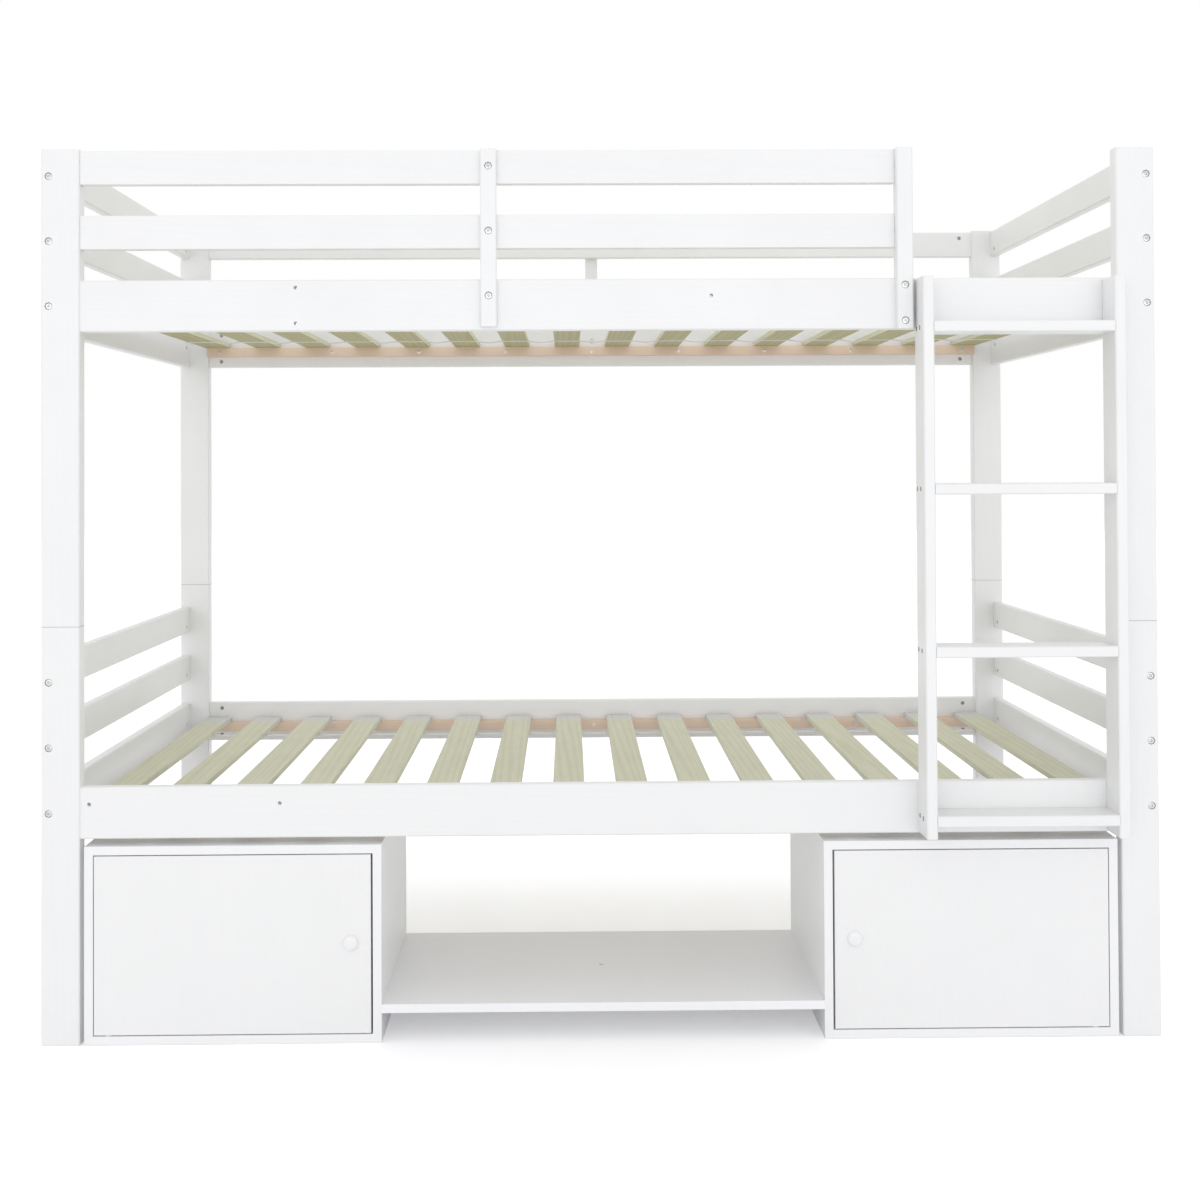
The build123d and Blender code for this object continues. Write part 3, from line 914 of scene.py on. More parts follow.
def describe(points: list[Vector]) -> Island:
    """Measures one loose solid.

    Args:
        points: Its points.

    Returns:
        Its box and the way that its thick end faces.
    """
    low = Vector([min(p[i] for p in points) for i in range(3)])
    high = Vector([max(p[i] for p in points) for i in range(3)])
    size, middle = high - low, (low + high) / 2
    axis = max(range(3), key=lambda i: size[i])
    across = [i for i in range(3) if i != axis]
    reach = {}
    for sign, end in ((-1.0, low[axis]), (1.0, high[axis])):
        ring = [p for p in points if abs(p[axis] - end) < 1e-5]
        reach[sign] = max((math.dist([p[i] for i in across], [middle[i] for i in across])
                           for p in ring), default=0.0)
    heading = Vector((0.0, 0.0, 0.0))
    heading[axis] = 1.0 if reach[1.0] >= reach[-1.0] else -1.0
    return Island(low, high, heading)


class Scatter:
    """Places copies of one piece on points with Geometry Nodes, then makes them plain."""

    def __init__(self) -> None:
        """Builds the node tree once."""
        self.tree, self.sockets = self._tree()

    @staticmethod
    def _tree() -> tuple[bpy.types.NodeTree, dict[str, str]]:
        """Builds the tree, which aims each copy's Z along the point's heading and twists it.

        Returns:
            The tree, and its inputs' identifiers by name.
        """
        tree = bpy.data.node_groups.new("place_pieces", "GeometryNodeTree")
        face = tree.interface
        face.new_socket("Geometry", in_out="INPUT", socket_type="NodeSocketGeometry")
        kinds = {"Piece": "Object", "Material": "Material", "Twist": "Float", "Seed": "Int"}
        sockets = {label: face.new_socket(label, in_out="INPUT", socket_type=f"NodeSocket{kind}")
                   .identifier for label, kind in kinds.items()}
        face.new_socket("Geometry", in_out="OUTPUT", socket_type="NodeSocketGeometry")
        n = Nodes(tree)
        source = n.add("NodeGroupInput")
        points = n.add("GeometryNodeMeshToPoints", {"Mesh": source.outputs["Geometry"]})
        heading = n.add("GeometryNodeInputNamedAttribute", {"Name": "heading"},
                        data_type="FLOAT_VECTOR")
        aim = n.add("FunctionNodeAlignRotationToVector", {"Vector": heading.outputs[0]}, axis="Z")
        spread = n.add("FunctionNodeRandomValue", {"Seed": source.outputs["Seed"]},
                       data_type="FLOAT")
        angle = n.times(spread.outputs[1], source.outputs["Twist"])
        turn = n.add("FunctionNodeAxisAngleToRotation", {"Axis": (0.0, 0.0, 1.0), "Angle": angle})
        rotation = n.add("FunctionNodeRotateRotation",
                         {"Rotation": aim.outputs[0], "Rotate By": turn.outputs[0]},
                         rotation_space="LOCAL")
        piece = n.add("GeometryNodeObjectInfo", {"Object": source.outputs["Piece"]})
        placed = n.add("GeometryNodeInstanceOnPoints",
                       {"Points": points.outputs[0], "Instance": piece.outputs["Geometry"],
                        "Rotation": rotation.outputs[0]})
        real = n.add("GeometryNodeRealizeInstances", {"Geometry": placed.outputs[0]})
        dressed = n.add("GeometryNodeSetMaterial",
                        {"Geometry": real.outputs[0], "Material": source.outputs["Material"]})
        n.add("NodeGroupOutput", {0: dressed.outputs[0]})
        return tree, sockets

    def place(self, name: str, piece: bpy.types.Mesh, spots: Sequence[Spot],
              material: bpy.types.Material, twist: float) -> bpy.types.Object:
        """Sets copies of a mesh, its own Z turned to each spot's heading.

        Args:
            name: Name of the new object.
            piece: Mesh to copy.
            spots: Point and heading of each copy.
            material: Material of the copies.
            twist: Largest random turn about the heading, in radians.

        Returns:
            A plain mesh object that holds every copy.
        """
        cloud = bpy.data.meshes.new(f"{name}_spots")
        cloud.from_pydata([spot for spot, _ in spots], [], [])
        heading = cloud.attributes.new("heading", "FLOAT_VECTOR", "POINT")
        for item, (_, way) in zip(heading.data, spots):
            item.vector = way
        carrier = link(bpy.data.objects.new(f"{name}_carrier", cloud))
        model = link(bpy.data.objects.new(f"{name}_model", piece))
        modifier = carrier.modifiers.new("place", "NODES")
        modifier.node_group = self.tree
        values = {"Piece": model, "Material": material, "Twist": twist, "Seed": SEED}
        for label, value in values.items():
            modifier[self.sockets[label]] = value
        plain = applied(carrier)
        carrier.modifiers.remove(modifier)
        for used in (carrier, model):
            bpy.data.objects.remove(used)
        plain.name = name
        log.info("%s: %d copies, %d faces", name, len(spots), len(plain.polygons))
        return link(bpy.data.objects.new(name, plain))


@dataclass
class Workshop:
    """What every sub-assembly shares: the effects, the finishes and the placing tool."""

    effects: EffectLibrary = field(default_factory=EffectLibrary)
    palette: Palette = field(default_factory=Palette)
    scatter: Scatter = field(default_factory=Scatter)

    def material(self, finish: Finish) -> bpy.types.Material:
        """The material of a finish."""
        return finish.material(self.effects)

    def place(self, name: str, piece: bpy.types.Mesh, spots: Sequence[Spot], finish: Finish,
              twist: float = 0.0) -> bpy.types.Object:
        """Sets copies of a mesh on spots, in a finish."""
        return self.scatter.place(name, piece, spots, self.material(finish), twist)

    def dress(self, obj: bpy.types.Object, finish: Finish) -> None:
        """Gives an object one finish."""
        obj.data.materials.clear()
        obj.data.materials.append(self.material(finish))

    def adopt(self, obj: bpy.types.Object, body: str, slot_name: str, *nodes: str) -> None:
        """Lets a piece ride on a body and hides the nodes it stands for.

        Args:
            obj: The piece.
            body: The body that it rides on.
            slot_name: Not used.
            *nodes: CAD nodes that it stands for.
        """
        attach(obj, body)
        if nodes:
            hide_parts(*nodes)


class SubAssembly:
    """A group of pieces that one class builds."""

    def build(self, shop: Workshop) -> None:
        """Builds or dresses the pieces."""
        raise NotImplementedError


@dataclass
class Timberwork(SubAssembly):
    """Posts, rails, guard, ladder and storage boards, whose solids are right as they are."""

    def finish_of(self, node: str, palette: Palette) -> Finish:
        """Chooses a finish by the node's name.

        Args:
            node: Name of a CAD node.
            palette: The finishes.

        Returns:
            The node's finish. Small metal parts are plated.
        """
        named = {"post_pins": palette.zinc, "shelf": palette.shelf, "shelf_foot": palette.foot,
                 "door_left": palette.board, "door_right": palette.board,
                 "door_washers": palette.nylon, "door_catches": palette.nylon}
        kinds = {"post_": palette.post, "cabinet_": palette.carcass_painted_light,
                 "end_rails": palette.timber_y, "guard_strap": palette.timber_z,
                 "guard_end_post": palette.timber_z, "ladder_stile": palette.timber_z,
                 "side_rail_front": palette.timber_x, "side_rail_rear": palette.timber_x,
                 "guard_rail": palette.timber_x, "ladder_treads": palette.timber_x,
                 "ledgers": palette.ledger}
        if node in named:
            return named[node]
        fitting = (finish for start, finish in kinds.items() if node.startswith(start))
        return next(fitting, palette.zinc)

    def build(self, shop: Workshop) -> None:
        """Dresses every CAD node, also those that finer pieces stand for later.

        Args:
            shop: The shared workshop.
        """
        for node in sorted(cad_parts):
            finish = self.finish_of(node, shop.palette)
            shop.dress(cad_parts[node], finish)
            log.info("%s: %s", node, finish.name)


@dataclass
class SlatBase(SubAssembly):
    """One bunk's slats, with rounded edges, on its ledgers.

    Attributes:
        bunk: "lower" or "upper".
        ease: Radius of the slats' edges.
    """

    bunk: str
    ease: float = 1.6 * MM

    def build(self, shop: Workshop) -> None:
        """Builds the row of slats.

        Args:
            shop: The shared workshop.
        """
        node = f"slats_{self.bunk}"
        solids = islands(node)
        mesh = plank(f"slat_{self.bunk}", solids[0].size, self.ease)
        finish = shop.palette.slat_lower if self.bunk == "lower" else shop.palette.slat_upper
        slats = shop.place(f"slat_row_{self.bunk}", mesh, [(one.centre, UP) for one in solids],
                           finish)
        shop.adopt(slats, "bed", "slat_wood", node)


@dataclass
class SlatTapes(SubAssembly):
    """The woven tapes, which sag a little between slats, and their staples.

    Attributes:
        sag_lower: Sag between two slats of the lower bunk.
        sag_upper: Sag between two slats of the upper bunk.
        steps: Divisions between two slats.
        wire: Thickness of a staple's wire.
        crown: Length of a staple's back.
        staple_offset: Distance of a staple from the middle of its slat.
    """

    sag_lower: float = 0.4 * MM
    sag_upper: float = 3.2 * MM
    steps: int = 10
    wire: float = 0.7 * MM
    crown: float = 10.5 * MM
    staple_offset: float = 14.0 * MM

    def line(self, tape: Island, slats: list[Island], sag: float) -> list[tuple[float, float]]:
        """The line of a tape from end to end.

        Args:
            tape: The straight solid that it stands for.
            slats: The slats over it, from left to right.
            sag: Sag between two slats.

        Returns:
            X and the drop below the straight tape, point by point.
        """
        line = [(tape.low.x, 0.0)]
        for one, other in zip(slats, slats[1:]):
            start, end = one.high.x, other.low.x
            line.append((start, 0.0))
            for step in range(1, self.steps):
                share = step / self.steps
                line.append((start + (end - start) * share,
                             sag * math.sin(math.pi * share) ** 1.5))
            line.append((end, 0.0))
        line.append((tape.high.x, 0.0))
        return line

    def build(self, shop: Workshop) -> None:
        """Builds the four tapes as one piece, and every staple.

        Args:
            shop: The shared workshop.
        """
        form = bmesh.new()
        staples = []
        for tape in islands("slat_tapes"):
            lower = tape.centre.z < POST_SEAM_M
            slats = islands("slats_lower" if lower else "slats_upper")
            (y0, z0), (y1, z1) = tape.low.yz, tape.high.yz
            loops = []
            for x, drop in self.line(tape, slats, self.sag_lower if lower else self.sag_upper):
                loops.append([form.verts.new((x, y, z - drop))
                              for y, z in ((y0, z1), (y1, z1), (y1, z0), (y0, z0))])
            skin(form, loops)
            staples += [(Vector((one.centre.x + side * self.staple_offset, tape.centre.y, z0)),
                         DOWN) for one in slats for side in (-1, 1)]
        mesh = finish_mesh(form, "slat_tapes_woven", TURNED_SMOOTH_DEG)
        tapes = link(bpy.data.objects.new("slat_tapes_woven", mesh))
        shop.dress(tapes, shop.palette.tape)
        shop.adopt(tapes, "bed", "tape_white", "slat_tapes")
        size = Vector((self.wire * 1.4, self.crown, self.wire))
        back = plank("staple", size, self.wire * 0.3, segments=1)
        row = shop.place("tape_staples", back, staples, shop.palette.zinc, 0.35)
        shop.adopt(row, "bed", "zinc_steel")


@dataclass
class BoltSet(SubAssembly):
    """Bolts of one CAD node, with a hexagon socket in a rounded head and a ridged shank.

    Attributes:
        node: CAD node of the bolts.
        head_radius: Radius of the head.
        head_height: Height of the head.
        shank_radius: Radius of the shank.
        socket: Half the socket's width across flats.
        pitch: Distance between two ridges.
        ridged: Length of the ridged part.
        lead: Length of the taper at the tip and where the ridges end.
    """

    node: str
    head_radius: float = 6.5 * MM
    head_height: float = 4.0 * MM
    shank_radius: float = 3.0 * MM
    socket: float = 2.0 * MM
    pitch: float = 1.0 * MM
    ridged: float = 24.0 * MM
    lead: float = 0.4 * MM

    def rings(self, length: float) -> list[Ring]:
        """Rings from the tip to the head and down into the socket.

        Args:
            length: Length of the whole bolt.

        Returns:
            Radius and height of each ring. The head's top is at 0.
        """
        tip, neck = -length, -self.head_height
        crest, top = self.shank_radius, self.head_radius
        root, plain = crest * 0.86, crest * 0.95
        rings: list[Ring] = [(root * 0.85, tip), (root, tip + self.lead)]
        height = tip + self.lead
        while height + self.pitch < min(neck, tip + self.ridged):
            rings += [(crest, height + self.pitch / 2), (root, height + self.pitch)]
            height += self.pitch
        rings += [(plain, height + self.lead), (plain, neck), (top, neck), (top, -1.1 * MM),
                  (top * 0.975, -0.55 * MM), (top * 0.91, -0.15 * MM), (top * 0.82, 0.0),
                  (top * 0.55, 0.0), (hexagon(self.socket * 1.12), 0.0),
                  (hexagon(self.socket), -0.3 * MM), (hexagon(self.socket), -2.4 * MM),
                  (0.5 * MM, -3.0 * MM)]
        return rings

    def build(self, shop: Workshop) -> None:
        """Builds the bolts, length by length.

        Args:
            shop: The shared workshop.
        """
        lengths: dict[float, list[Island]] = {}
        for one in islands(self.node):
            lengths.setdefault(round(max(one.size), 4), []).append(one)
        made = []
        for number, (length, members) in enumerate(sorted(lengths.items())):
            mesh = lathe(f"{self.node}_{number}", self.rings(length), 36)
            spots = [(one.head, one.heading) for one in members]
            made.append(shop.place(f"{self.node}_turned_{number}", mesh, spots,
                                   shop.palette.zinc, math.pi / 3))
        for obj in made:
            shop.adopt(obj, "bed", "zinc_steel", self.node)


@dataclass
class CrossNuts(SubAssembly):
    """Round cross nuts with a slot in the end that shows.

    Attributes:
        node: CAD node of the nuts.
        radius: Radius of a nut.
        length: Length of a nut.
        slot_length: Half the slot's length.
        slot_width: Half the slot's width.
        ladder_front: The nuts in front of this Y are the ladder's.
    """

    node: str = "barrel_nuts"
    radius: float = 4.95 * MM
    length: float = 16.0 * MM
    slot_length: float = 3.6 * MM
    slot_width: float = 0.65 * MM
    ladder_front: float = -0.46

    def facing(self, one: Island) -> Vector:
        """The way that a nut's slotted end faces.

        Args:
            one: The nut.

        Returns:
            A unit vector: into the bed, or to the right on the ladder.
        """
        if one.size.y > one.size.x:
            return BACK if one.centre.y < 0 else FRONT
        on_ladder = one.centre.y < self.ladder_front
        return RIGHT if on_ladder or one.centre.x < 0 else LEFT

    def build(self, shop: Workshop) -> None:
        """Builds every cross nut.

        Args:
            shop: The shared workshop.
        """
        r, end = self.radius, -self.length
        rings: list[Ring] = [
            (r * 0.9, end), (r, end + 0.4 * MM), (r, -0.5 * MM), (r * 0.97, -0.2 * MM),
            (r * 0.88, 0.0), (slot(self.slot_length, self.slot_width), 0.0),
            (slot(self.slot_length * 0.98, self.slot_width * 0.9), -1.4 * MM)]
        spots = []
        for one in islands(self.node):
            way = self.facing(one)
            spots.append((one.centre + way * (self.length / 2), way))
        nuts = shop.place("cross_nuts_turned", lathe("cross_nut", rings), spots,
                          shop.palette.nut_zinc, math.pi)
        shop.adopt(nuts, "bed", "zinc_steel", self.node)


@dataclass
class SleeveNuts(SubAssembly):
    """Flanged sleeve nuts with a hexagon socket.

    Attributes:
        node: CAD node of the nuts.
        radius: Radius of the sleeve.
        flange_radius: Radius of the flange.
        flange_height: Height of the flange.
        socket: Half the socket's width across flats.
    """

    node: str = "sleeve_nuts"
    radius: float = 3.9 * MM
    flange_radius: float = 6.0 * MM
    flange_height: float = 1.5 * MM
    socket: float = 2.0 * MM

    def build(self, shop: Workshop) -> None:
        """Builds every sleeve nut.

        Args:
            shop: The shared workshop.
        """
        solids = islands(self.node)
        end, top = -max(solids[0].size), self.flange_radius
        rings: list[Ring] = [
            (3.6 * MM, end), (self.radius, end + 0.4 * MM), (self.radius, -self.flange_height),
            (top, -self.flange_height), (top, -0.7 * MM), (top * 0.95, -0.25 * MM),
            (top * 0.85, 0.0), (hexagon(self.socket * 1.1), 0.0),
            (hexagon(self.socket), -0.3 * MM), (hexagon(self.socket), -3.0 * MM)]
        spots = [(one.head, one.heading) for one in solids]
        nuts = shop.place("sleeve_nuts_turned", lathe("sleeve_nut", rings), spots,
                          shop.palette.zinc, math.pi / 3)
        shop.adopt(nuts, "bed", "zinc_steel", self.node)


@dataclass
class GuardRails(SubAssembly):
    """The front guard rails, with a pocket behind for each cross nut.

    Attributes:
        nodes: CAD nodes of the rails.
        ease: Radius of the rails' edges.
        pocket_radius: Radius of a pocket.
        pocket_reach: Length of the cutter, which starts 1 mm behind the rail.
    """

    nodes: tuple[str, ...] = ("guard_rail_front_top", "guard_rail_front_middle")
    ease: float = 1.0 * MM
    pocket_radius: float = 5.3 * MM
    pocket_reach: float = 18.0 * MM

    def pockets(self, low: Vector, high: Vector) -> list[Spot]:
        """Finds where one rail has pockets.

        Args:
            low: The rail's lowest corner.
            high: The rail's highest corner.

        Returns:
            Spots just behind its rear face.
        """
        inside = [one.centre for one in islands("barrel_nuts")
                  if all(low[i] <= one.centre[i] <= high[i] for i in range(3))]
        return [(Vector((centre.x, high.y + MM, centre.z)), BACK) for centre in inside]

    def carve(self, rail: bpy.types.Object, node: str, spots: list[Spot],
              shop: Workshop) -> None:
        """Cuts the pockets of one rail.

        Args:
            rail: The rail.
            node: CAD node of the rail.
            spots: Where the pockets are.
            shop: The shared workshop.
        """
        bore = lathe(f"{node}_bore", [(self.pocket_radius, -self.pocket_reach),
                                      (self.pocket_radius, 0.0)], 32)
        cutter = shop.place(f"{node}_cutter", bore, spots, shop.palette.timber_x)
        cut = rail.modifiers.new("pockets", "BOOLEAN")
        cut.object, cut.operation, cut.solver = cutter, "DIFFERENCE", "EXACT"
        carved = applied(rail)
        rail.modifiers.remove(cut)
        form = bmesh.new()
        form.from_mesh(carved)
        rail.data = finish_mesh(form, f"{node}_carved", BOARD_SMOOTH_DEG)
        bpy.data.objects.remove(cutter)

    def build(self, shop: Workshop) -> None:
        """Builds both rails.

        Args:
            shop: The shared workshop.
        """
        for node in self.nodes:
            low, high = (Vector(corner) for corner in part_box(node))
            name = f"{node}_board"
            rail = link(bpy.data.objects.new(name, plank(name, high - low, self.ease)))
            rail.data.transform(Matrix.Translation((low + high) / 2))
            spots = self.pockets(low, high)
            if spots:
                self.carve(rail, node, spots, shop)
            shop.dress(rail, shop.palette.timber_x)
            shop.adopt(rail, "bed", "painted_wood", node)
            log.info("%s: %d pockets", node, len(spots))


@dataclass
class GuardScrews(SubAssembly):
    """Cross-head screws through the guard's end post into the ends of the rails.

    Attributes:
        node: CAD node of the screws.
        head_radius: Radius of the head.
        shank_radius: Radius of the shank.
        reach: Length of a screw.
    """

    node: str = "guard_screws"
    head_radius: float = 4.5 * MM
    shank_radius: float = 2.0 * MM
    reach: float = 29.0 * MM

    def build(self, shop: Workshop) -> None:
        """Builds the screws, their heads flush with the post.

        Args:
            shop: The shared workshop.
        """
        top, tip = self.head_radius, -self.reach
        rings: list[Ring] = [
            (0.5 * MM, tip), (self.shank_radius, tip + 2.0 * MM), (self.shank_radius, -3.0 * MM),
            (top, -0.4 * MM), (top * 0.96, -0.1 * MM), (top * 0.85, 0.0),
            (cross(2.5 * MM, 0.6 * MM), 0.0), (cross(1.8 * MM, 0.45 * MM), -1.4 * MM),
            (0.2 * MM, -2.0 * MM)]
        spots = [(Vector((one.high.x, one.centre.y, one.centre.z)), RIGHT)
                 for one in islands(self.node)]
        row = shop.place("guard_screws_turned", lathe("guard_screw", rings), spots,
                         shop.palette.zinc, 0.8)
        shop.adopt(row, "bed", "zinc_steel", self.node)


@dataclass
class WoodScrews(SubAssembly):
    """Countersunk cross-head screws, their heads a hair proud of the timber.

    Attributes:
        head_radius: Radius of the head.
        ledger_places: Distances from the middle at which a ledger is screwed.
        tread_depths: Distances of a tread's screws behind its front edge.
    """

    head_radius: float = 4.6 * MM
    ledger_places: tuple[float, ...] = (0.0, 0.216, 0.432, 0.648, 0.864, 0.928)
    tread_depths: tuple[float, ...] = (0.028, 0.052)

    def rings(self) -> list[Ring]:
        """Rings from the shank to the head and down into the recess.

        Returns:
            Radius and height of each ring. The timber's face is at 0.
        """
        r = self.head_radius
        return [(1.2 * MM, -6.0 * MM), (1.6 * MM, -2.6 * MM), (r, -0.25 * MM), (r, 0.05 * MM),
                (r * 0.9, 0.15 * MM), (cross(2.3 * MM, 0.55 * MM), 0.15 * MM),
                (cross(1.7 * MM, 0.4 * MM), -1.2 * MM), (0.2 * MM, -1.8 * MM)]

    def ledger_spots(self) -> list[Spot]:
        """Finds the screws on the inner faces of the ledgers.

        Returns:
            Their spots.
        """
        spots = []
        for one in islands("ledgers_lower") + islands("ledgers_upper"):
            y, way = (one.high.y, BACK) if one.centre.y < 0 else (one.low.y, FRONT)
            for place in self.ledger_places:
                for side in ((-1, 1) if place else (1,)):
                    spots.append((Vector((side * place, y, one.centre.z)), way))
        return spots

    def tread_spots(self) -> list[Spot]:
        """Finds the screws on the outer faces of the stiles, at the ends of the treads.

        Returns:
            Their spots.
        """
        left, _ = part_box("ladder_stile_left")
        _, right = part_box("ladder_stile_right")
        spots = []
        for tread in islands("ladder_treads"):
            for depth in self.tread_depths:
                y = tread.low.y + depth
                spots.append((Vector((left.x, y, tread.centre.z)), LEFT))
                spots.append((Vector((right.x, y, tread.centre.z)), RIGHT))
        return spots

    def build(self, shop: Workshop) -> None:
        """Builds the ledgers' screws and the treads' screws.

        Args:
            shop: The shared workshop.
        """
        mesh = lathe("wood_screw", self.rings())
        for name, spots, finish in (("ledger_screws", self.ledger_spots(), shop.palette.zinc),
                                    ("tread_screws", self.tread_spots(), shop.palette.dark_zinc)):
            shop.adopt(shop.place(name, mesh, spots, finish, math.pi / 2), "bed", "zinc_steel")


@dataclass
class DoorKnob(SubAssembly):
    """A turned and lacquered knob on one door, and its screw behind.

    Attributes:
        side: "left" or "right".
        outline: Radius and distance from the door of the points on the profile, in mm.
    """

    side: str
    outline: tuple[tuple[float, float], ...] = (
        (8.5, 0.0), (8.5, 1.2), (7.6, 2.4), (7.1, 4.5), (7.0, 8.0), (7.7, 11.0), (9.8, 13.6),
        (12.6, 15.4), (14.0, 17.2), (14.25, 19.2), (14.0, 21.2), (12.9, 23.2), (10.6, 24.4),
        (7.5, 24.85), (4.0, 25.0))

    def build(self, shop: Workshop) -> None:
        """Builds the knob and the head of its screw, which ride on the door.

        Args:
            shop: The shared workshop.
        """
        body = f"door_{self.side}"
        node = f"{body}_knob"
        parts = islands(node)
        turned = min(parts, key=lambda one: one.low.y)
        screw = max(parts, key=lambda one: one.high.y)
        rings = [(radius * MM, distance * MM) for radius, distance in self.outline]
        foot = Vector((turned.centre.x, turned.high.y, turned.centre.z))
        knob = shop.place(f"{node}_turned", lathe(f"{node}_profile", rings, 64, 50.0),
                          [(foot, FRONT)], shop.palette.knob)
        shop.adopt(knob, body, "knob_white", node)
        head: list[Ring] = [
            (1.8 * MM, -6 * MM), (1.8 * MM, -2.4 * MM), (4.0 * MM, -2.4 * MM),
            (4.0 * MM, -0.9 * MM), (3.4 * MM, -0.25 * MM), (2.4 * MM, 0.0),
            (cross(1.9 * MM, 0.5 * MM), 0.0), (cross(1.4 * MM, 0.4 * MM), -1.2 * MM)]
        back = Vector((screw.centre.x, screw.high.y, screw.centre.z))
        pan = shop.place(f"{node}_screw", lathe(f"{node}_screw_head", head, 32), [(back, BACK)],
                         shop.palette.zinc)
        shop.adopt(pan, body, "zinc_steel")


@dataclass(frozen=True)
class PhotoCamera:
    """The photograph's camera, recovered from the object's edges.

    Attributes:
        position: Place in the model's frame.
        angles: Turns about Z, X and Y, in radians, from a level look along +Y.
        focal: Focal length in pixels of the square frame.
        principal: Where the optical axis meets the frame, in pixels from its top left.
        frame_px: Side of the square frame, in pixels.
        sensor_mm: Width of the sensor, in mm.
    """

    position: tuple[float, float, float] = (-0.060382, -3.086664, 1.055034)
    angles: tuple[float, float, float] = (-0.0114647, 0.0121845, 0.0047599)
    focal: float = 1422.244
    principal: tuple[float, float] = (584.543, 449.406)
    frame_px: float = 1200.0
    sensor_mm: float = 36.0

    def build(self) -> bpy.types.Object:
        """Creates the camera and makes it the scene's own.

        Returns:
            The camera.
        """
        yaw, pitch, roll = self.angles
        turn = (Matrix.Rotation(yaw, 3, "Z") @ Matrix.Rotation(pitch, 3, "X")
                @ Matrix.Rotation(roll, 3, "Y"))
        right, forward, up = turn.col[0], turn.col[1], turn.col[2]
        pose = Matrix((right, up, -forward)).transposed().to_4x4()
        pose.translation = Vector(self.position)
        lens = bpy.data.cameras.new("photo_camera")
        lens.sensor_fit = "HORIZONTAL"
        lens.sensor_width = self.sensor_mm
        lens.lens = self.focal / self.frame_px * lens.sensor_width
        lens.shift_x = 0.5 - self.principal[0] / self.frame_px
        lens.shift_y = self.principal[1] / self.frame_px - 0.5
        lens.clip_end = 60.0
        camera = link(bpy.data.objects.new("photo_camera", lens))
        camera.matrix_world = pose
        bpy.context.scene.camera = camera
        log.info("camera at %s, lens %.2f mm", self.position, lens.lens)
        return camera


@dataclass(frozen=True)
class SoftBox:
    """An area lamp that points at a target.

    Attributes:
        name: Name of the lamp.
        place: Its position.
        size: Its width and height.
        power: Its power in watts.
        target: Point that it faces.
    """

    name: str
    place: tuple[float, float, float]
    size: tuple[float, float]
    power: float
    target: tuple[float, float, float] = (0.0, 0.0, 0.8)

    def build(self) -> bpy.types.Object:
        """Creates the lamp.

        Returns:
            The lamp's object.
        """
        lamp = bpy.data.lights.new(self.name, "AREA")
        lamp.shape = "RECTANGLE"
        lamp.size, lamp.size_y = self.size
        lamp.energy = self.power
        obj = link(bpy.data.objects.new(self.name, lamp))
        way = Vector(self.target) - Vector(self.place)
        turn = way.to_track_quat("-Z", "Y").to_matrix().to_4x4()
        obj.matrix_world = Matrix.Translation(self.place) @ turn
        return obj


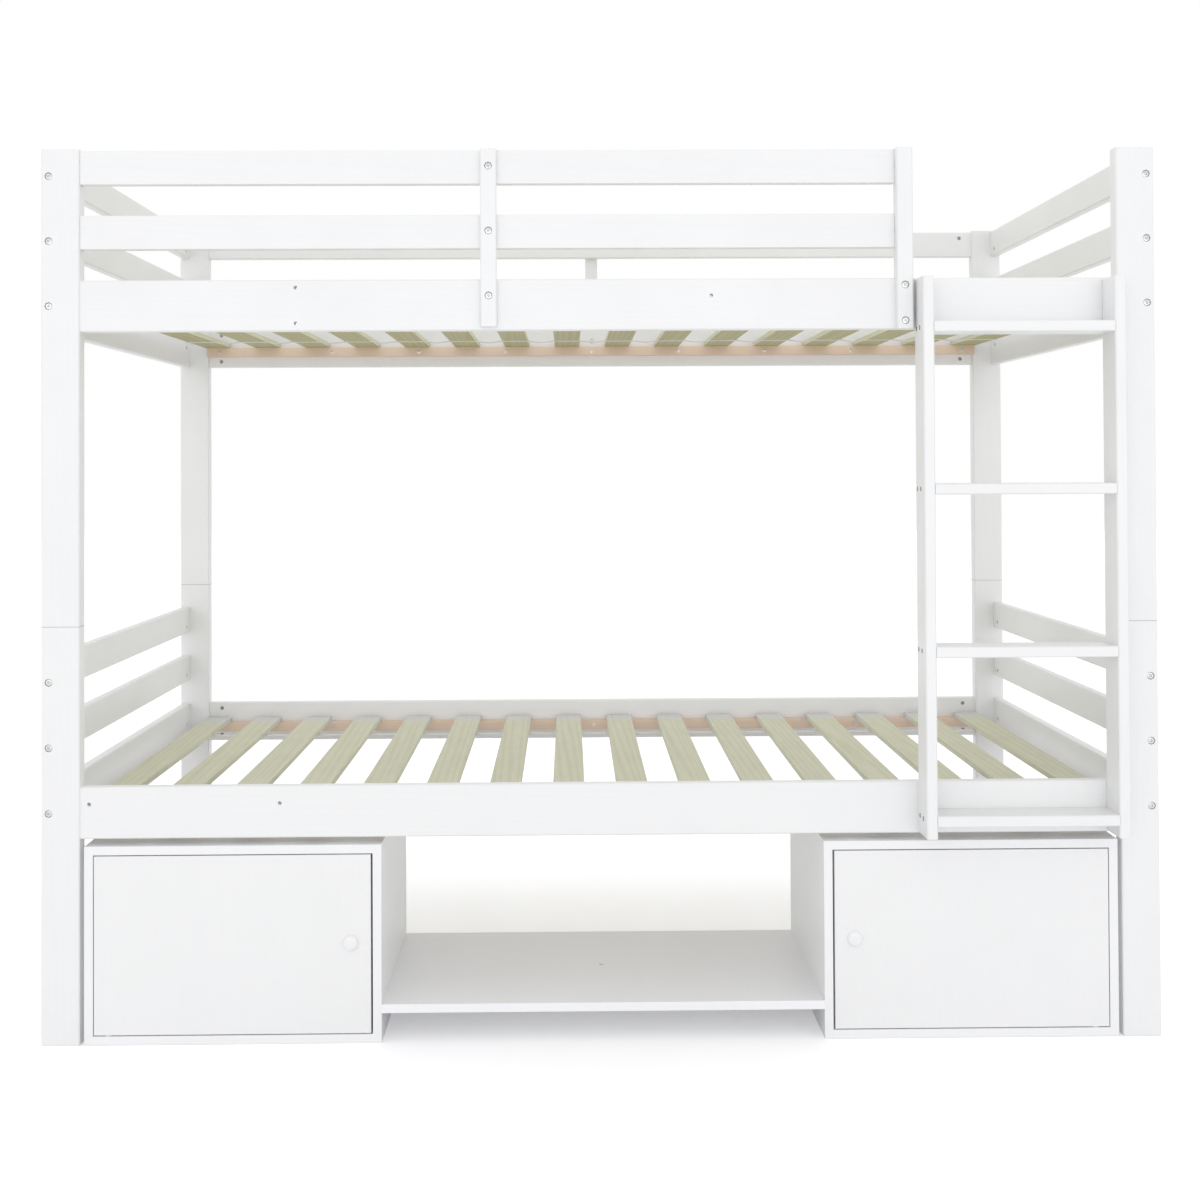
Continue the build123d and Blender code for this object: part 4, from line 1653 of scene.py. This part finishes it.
@dataclass
class Studio:
    """White floor, white surroundings and soft lamps.

    Attributes:
        ambient: Strength of the white surroundings.
        floor_fill: Glow of the floor to the camera and to mirrors, which keeps its shadow pale.
        floor_colour: Colour of the floor, linear.
        floor_size: Half the floor's side.
        floor_drop: How far the floor lies below the feet.
        lamps: The soft lamps.
    """

    ambient: float = 1.0
    floor_fill: float = 0.28
    floor_colour: Colour = (0.86, 0.862, 0.875)
    floor_size: float = 20.0
    floor_drop: float = 0.4 * MM
    lamps: tuple[SoftBox, ...] = (
        SoftBox("key_softbox", (-2.2, -9.0, 1.6), (4.5, 2.4), 62.0),
        SoftBox("fill_softbox", (2.4, -9.0, 1.2), (4.5, 2.4), 64.0),
        SoftBox("top_softbox", (0.0, 0.6, 4.2), (3.0, 2.0), 6.0),
    )

    def world(self) -> None:
        """Surrounds the object with plain white."""
        world = bpy.data.worlds.new("studio_world")
        world.use_nodes = True
        bpy.context.scene.world = world
        back = world.node_tree.nodes["Background"]
        back.inputs["Color"].default_value = (1.0, 1.0, 1.0, 1.0)
        back.inputs["Strength"].default_value = self.ambient

    def floor(self) -> bpy.types.Object:
        """Lays a pale floor that keeps the object's shadow and otherwise shows white.

        Returns:
            The floor.
        """
        form = bmesh.new()
        bmesh.ops.create_grid(form, x_segments=1, y_segments=1, size=self.floor_size)
        mesh = finish_mesh(form, "studio_floor", TURNED_SMOOTH_DEG)
        floor = link(bpy.data.objects.new("studio_floor", mesh))
        made = bpy.data.materials.new("studio_floor")
        made.use_nodes = True
        n = Nodes(made.node_tree)
        path = n.add("ShaderNodeLightPath").outputs
        seen = n.math("MAXIMUM", path["Is Camera Ray"], path["Is Glossy Ray"])
        seen = n.math("MAXIMUM", seen, path["Is Transmission Ray"])
        n.feed(made.node_tree.nodes["Principled BSDF"], {
            "Base Color": (*self.floor_colour, 1.0),
            "Roughness": 0.9,
            "Specular IOR Level": 0.1,
            "Emission Color": (1.0, 1.0, 1.0, 1.0),
            "Emission Strength": n.times(seen, self.floor_fill)})
        floor.data.materials.append(made)
        floor.location.z = -self.floor_drop
        return floor

    def build(self) -> None:
        """Builds the surroundings, the floor, the lamps and the camera."""
        self.world()
        self.floor()
        for lamp in self.lamps:
            lamp.build()
        bpy.context.scene.view_settings.view_transform = "Standard"
        PhotoCamera().build()


@dataclass
class BunkBed:
    """The whole bed.

    Attributes:
        parts: Its sub-assemblies, in the order in which they are built.
    """

    parts: list[SubAssembly] = field(default_factory=lambda: [
        Timberwork(), SlatBase("lower"), SlatBase("upper"), SlatTapes(),
        BoltSet("end_rail_bolts"), BoltSet("side_rail_bolts"), BoltSet("guard_bolts"),
        BoltSet("ladder_bolts"), GuardRails(), GuardScrews(), CrossNuts(), SleeveNuts(),
        WoodScrews(), DoorKnob("left"), DoorKnob("right")])

    def build(self, shop: Workshop) -> None:
        """Builds every sub-assembly.

        Args:
            shop: The shared workshop.
        """
        for part in self.parts:
            log.info("building %s", type(part).__name__)
            part.build(shop)


def main() -> None:
    """Builds the bed and its studio."""
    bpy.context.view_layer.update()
    BunkBed().build(Workshop())
    Studio().build()
    bpy.context.view_layer.update()


if __name__ == "__main__":
    main()
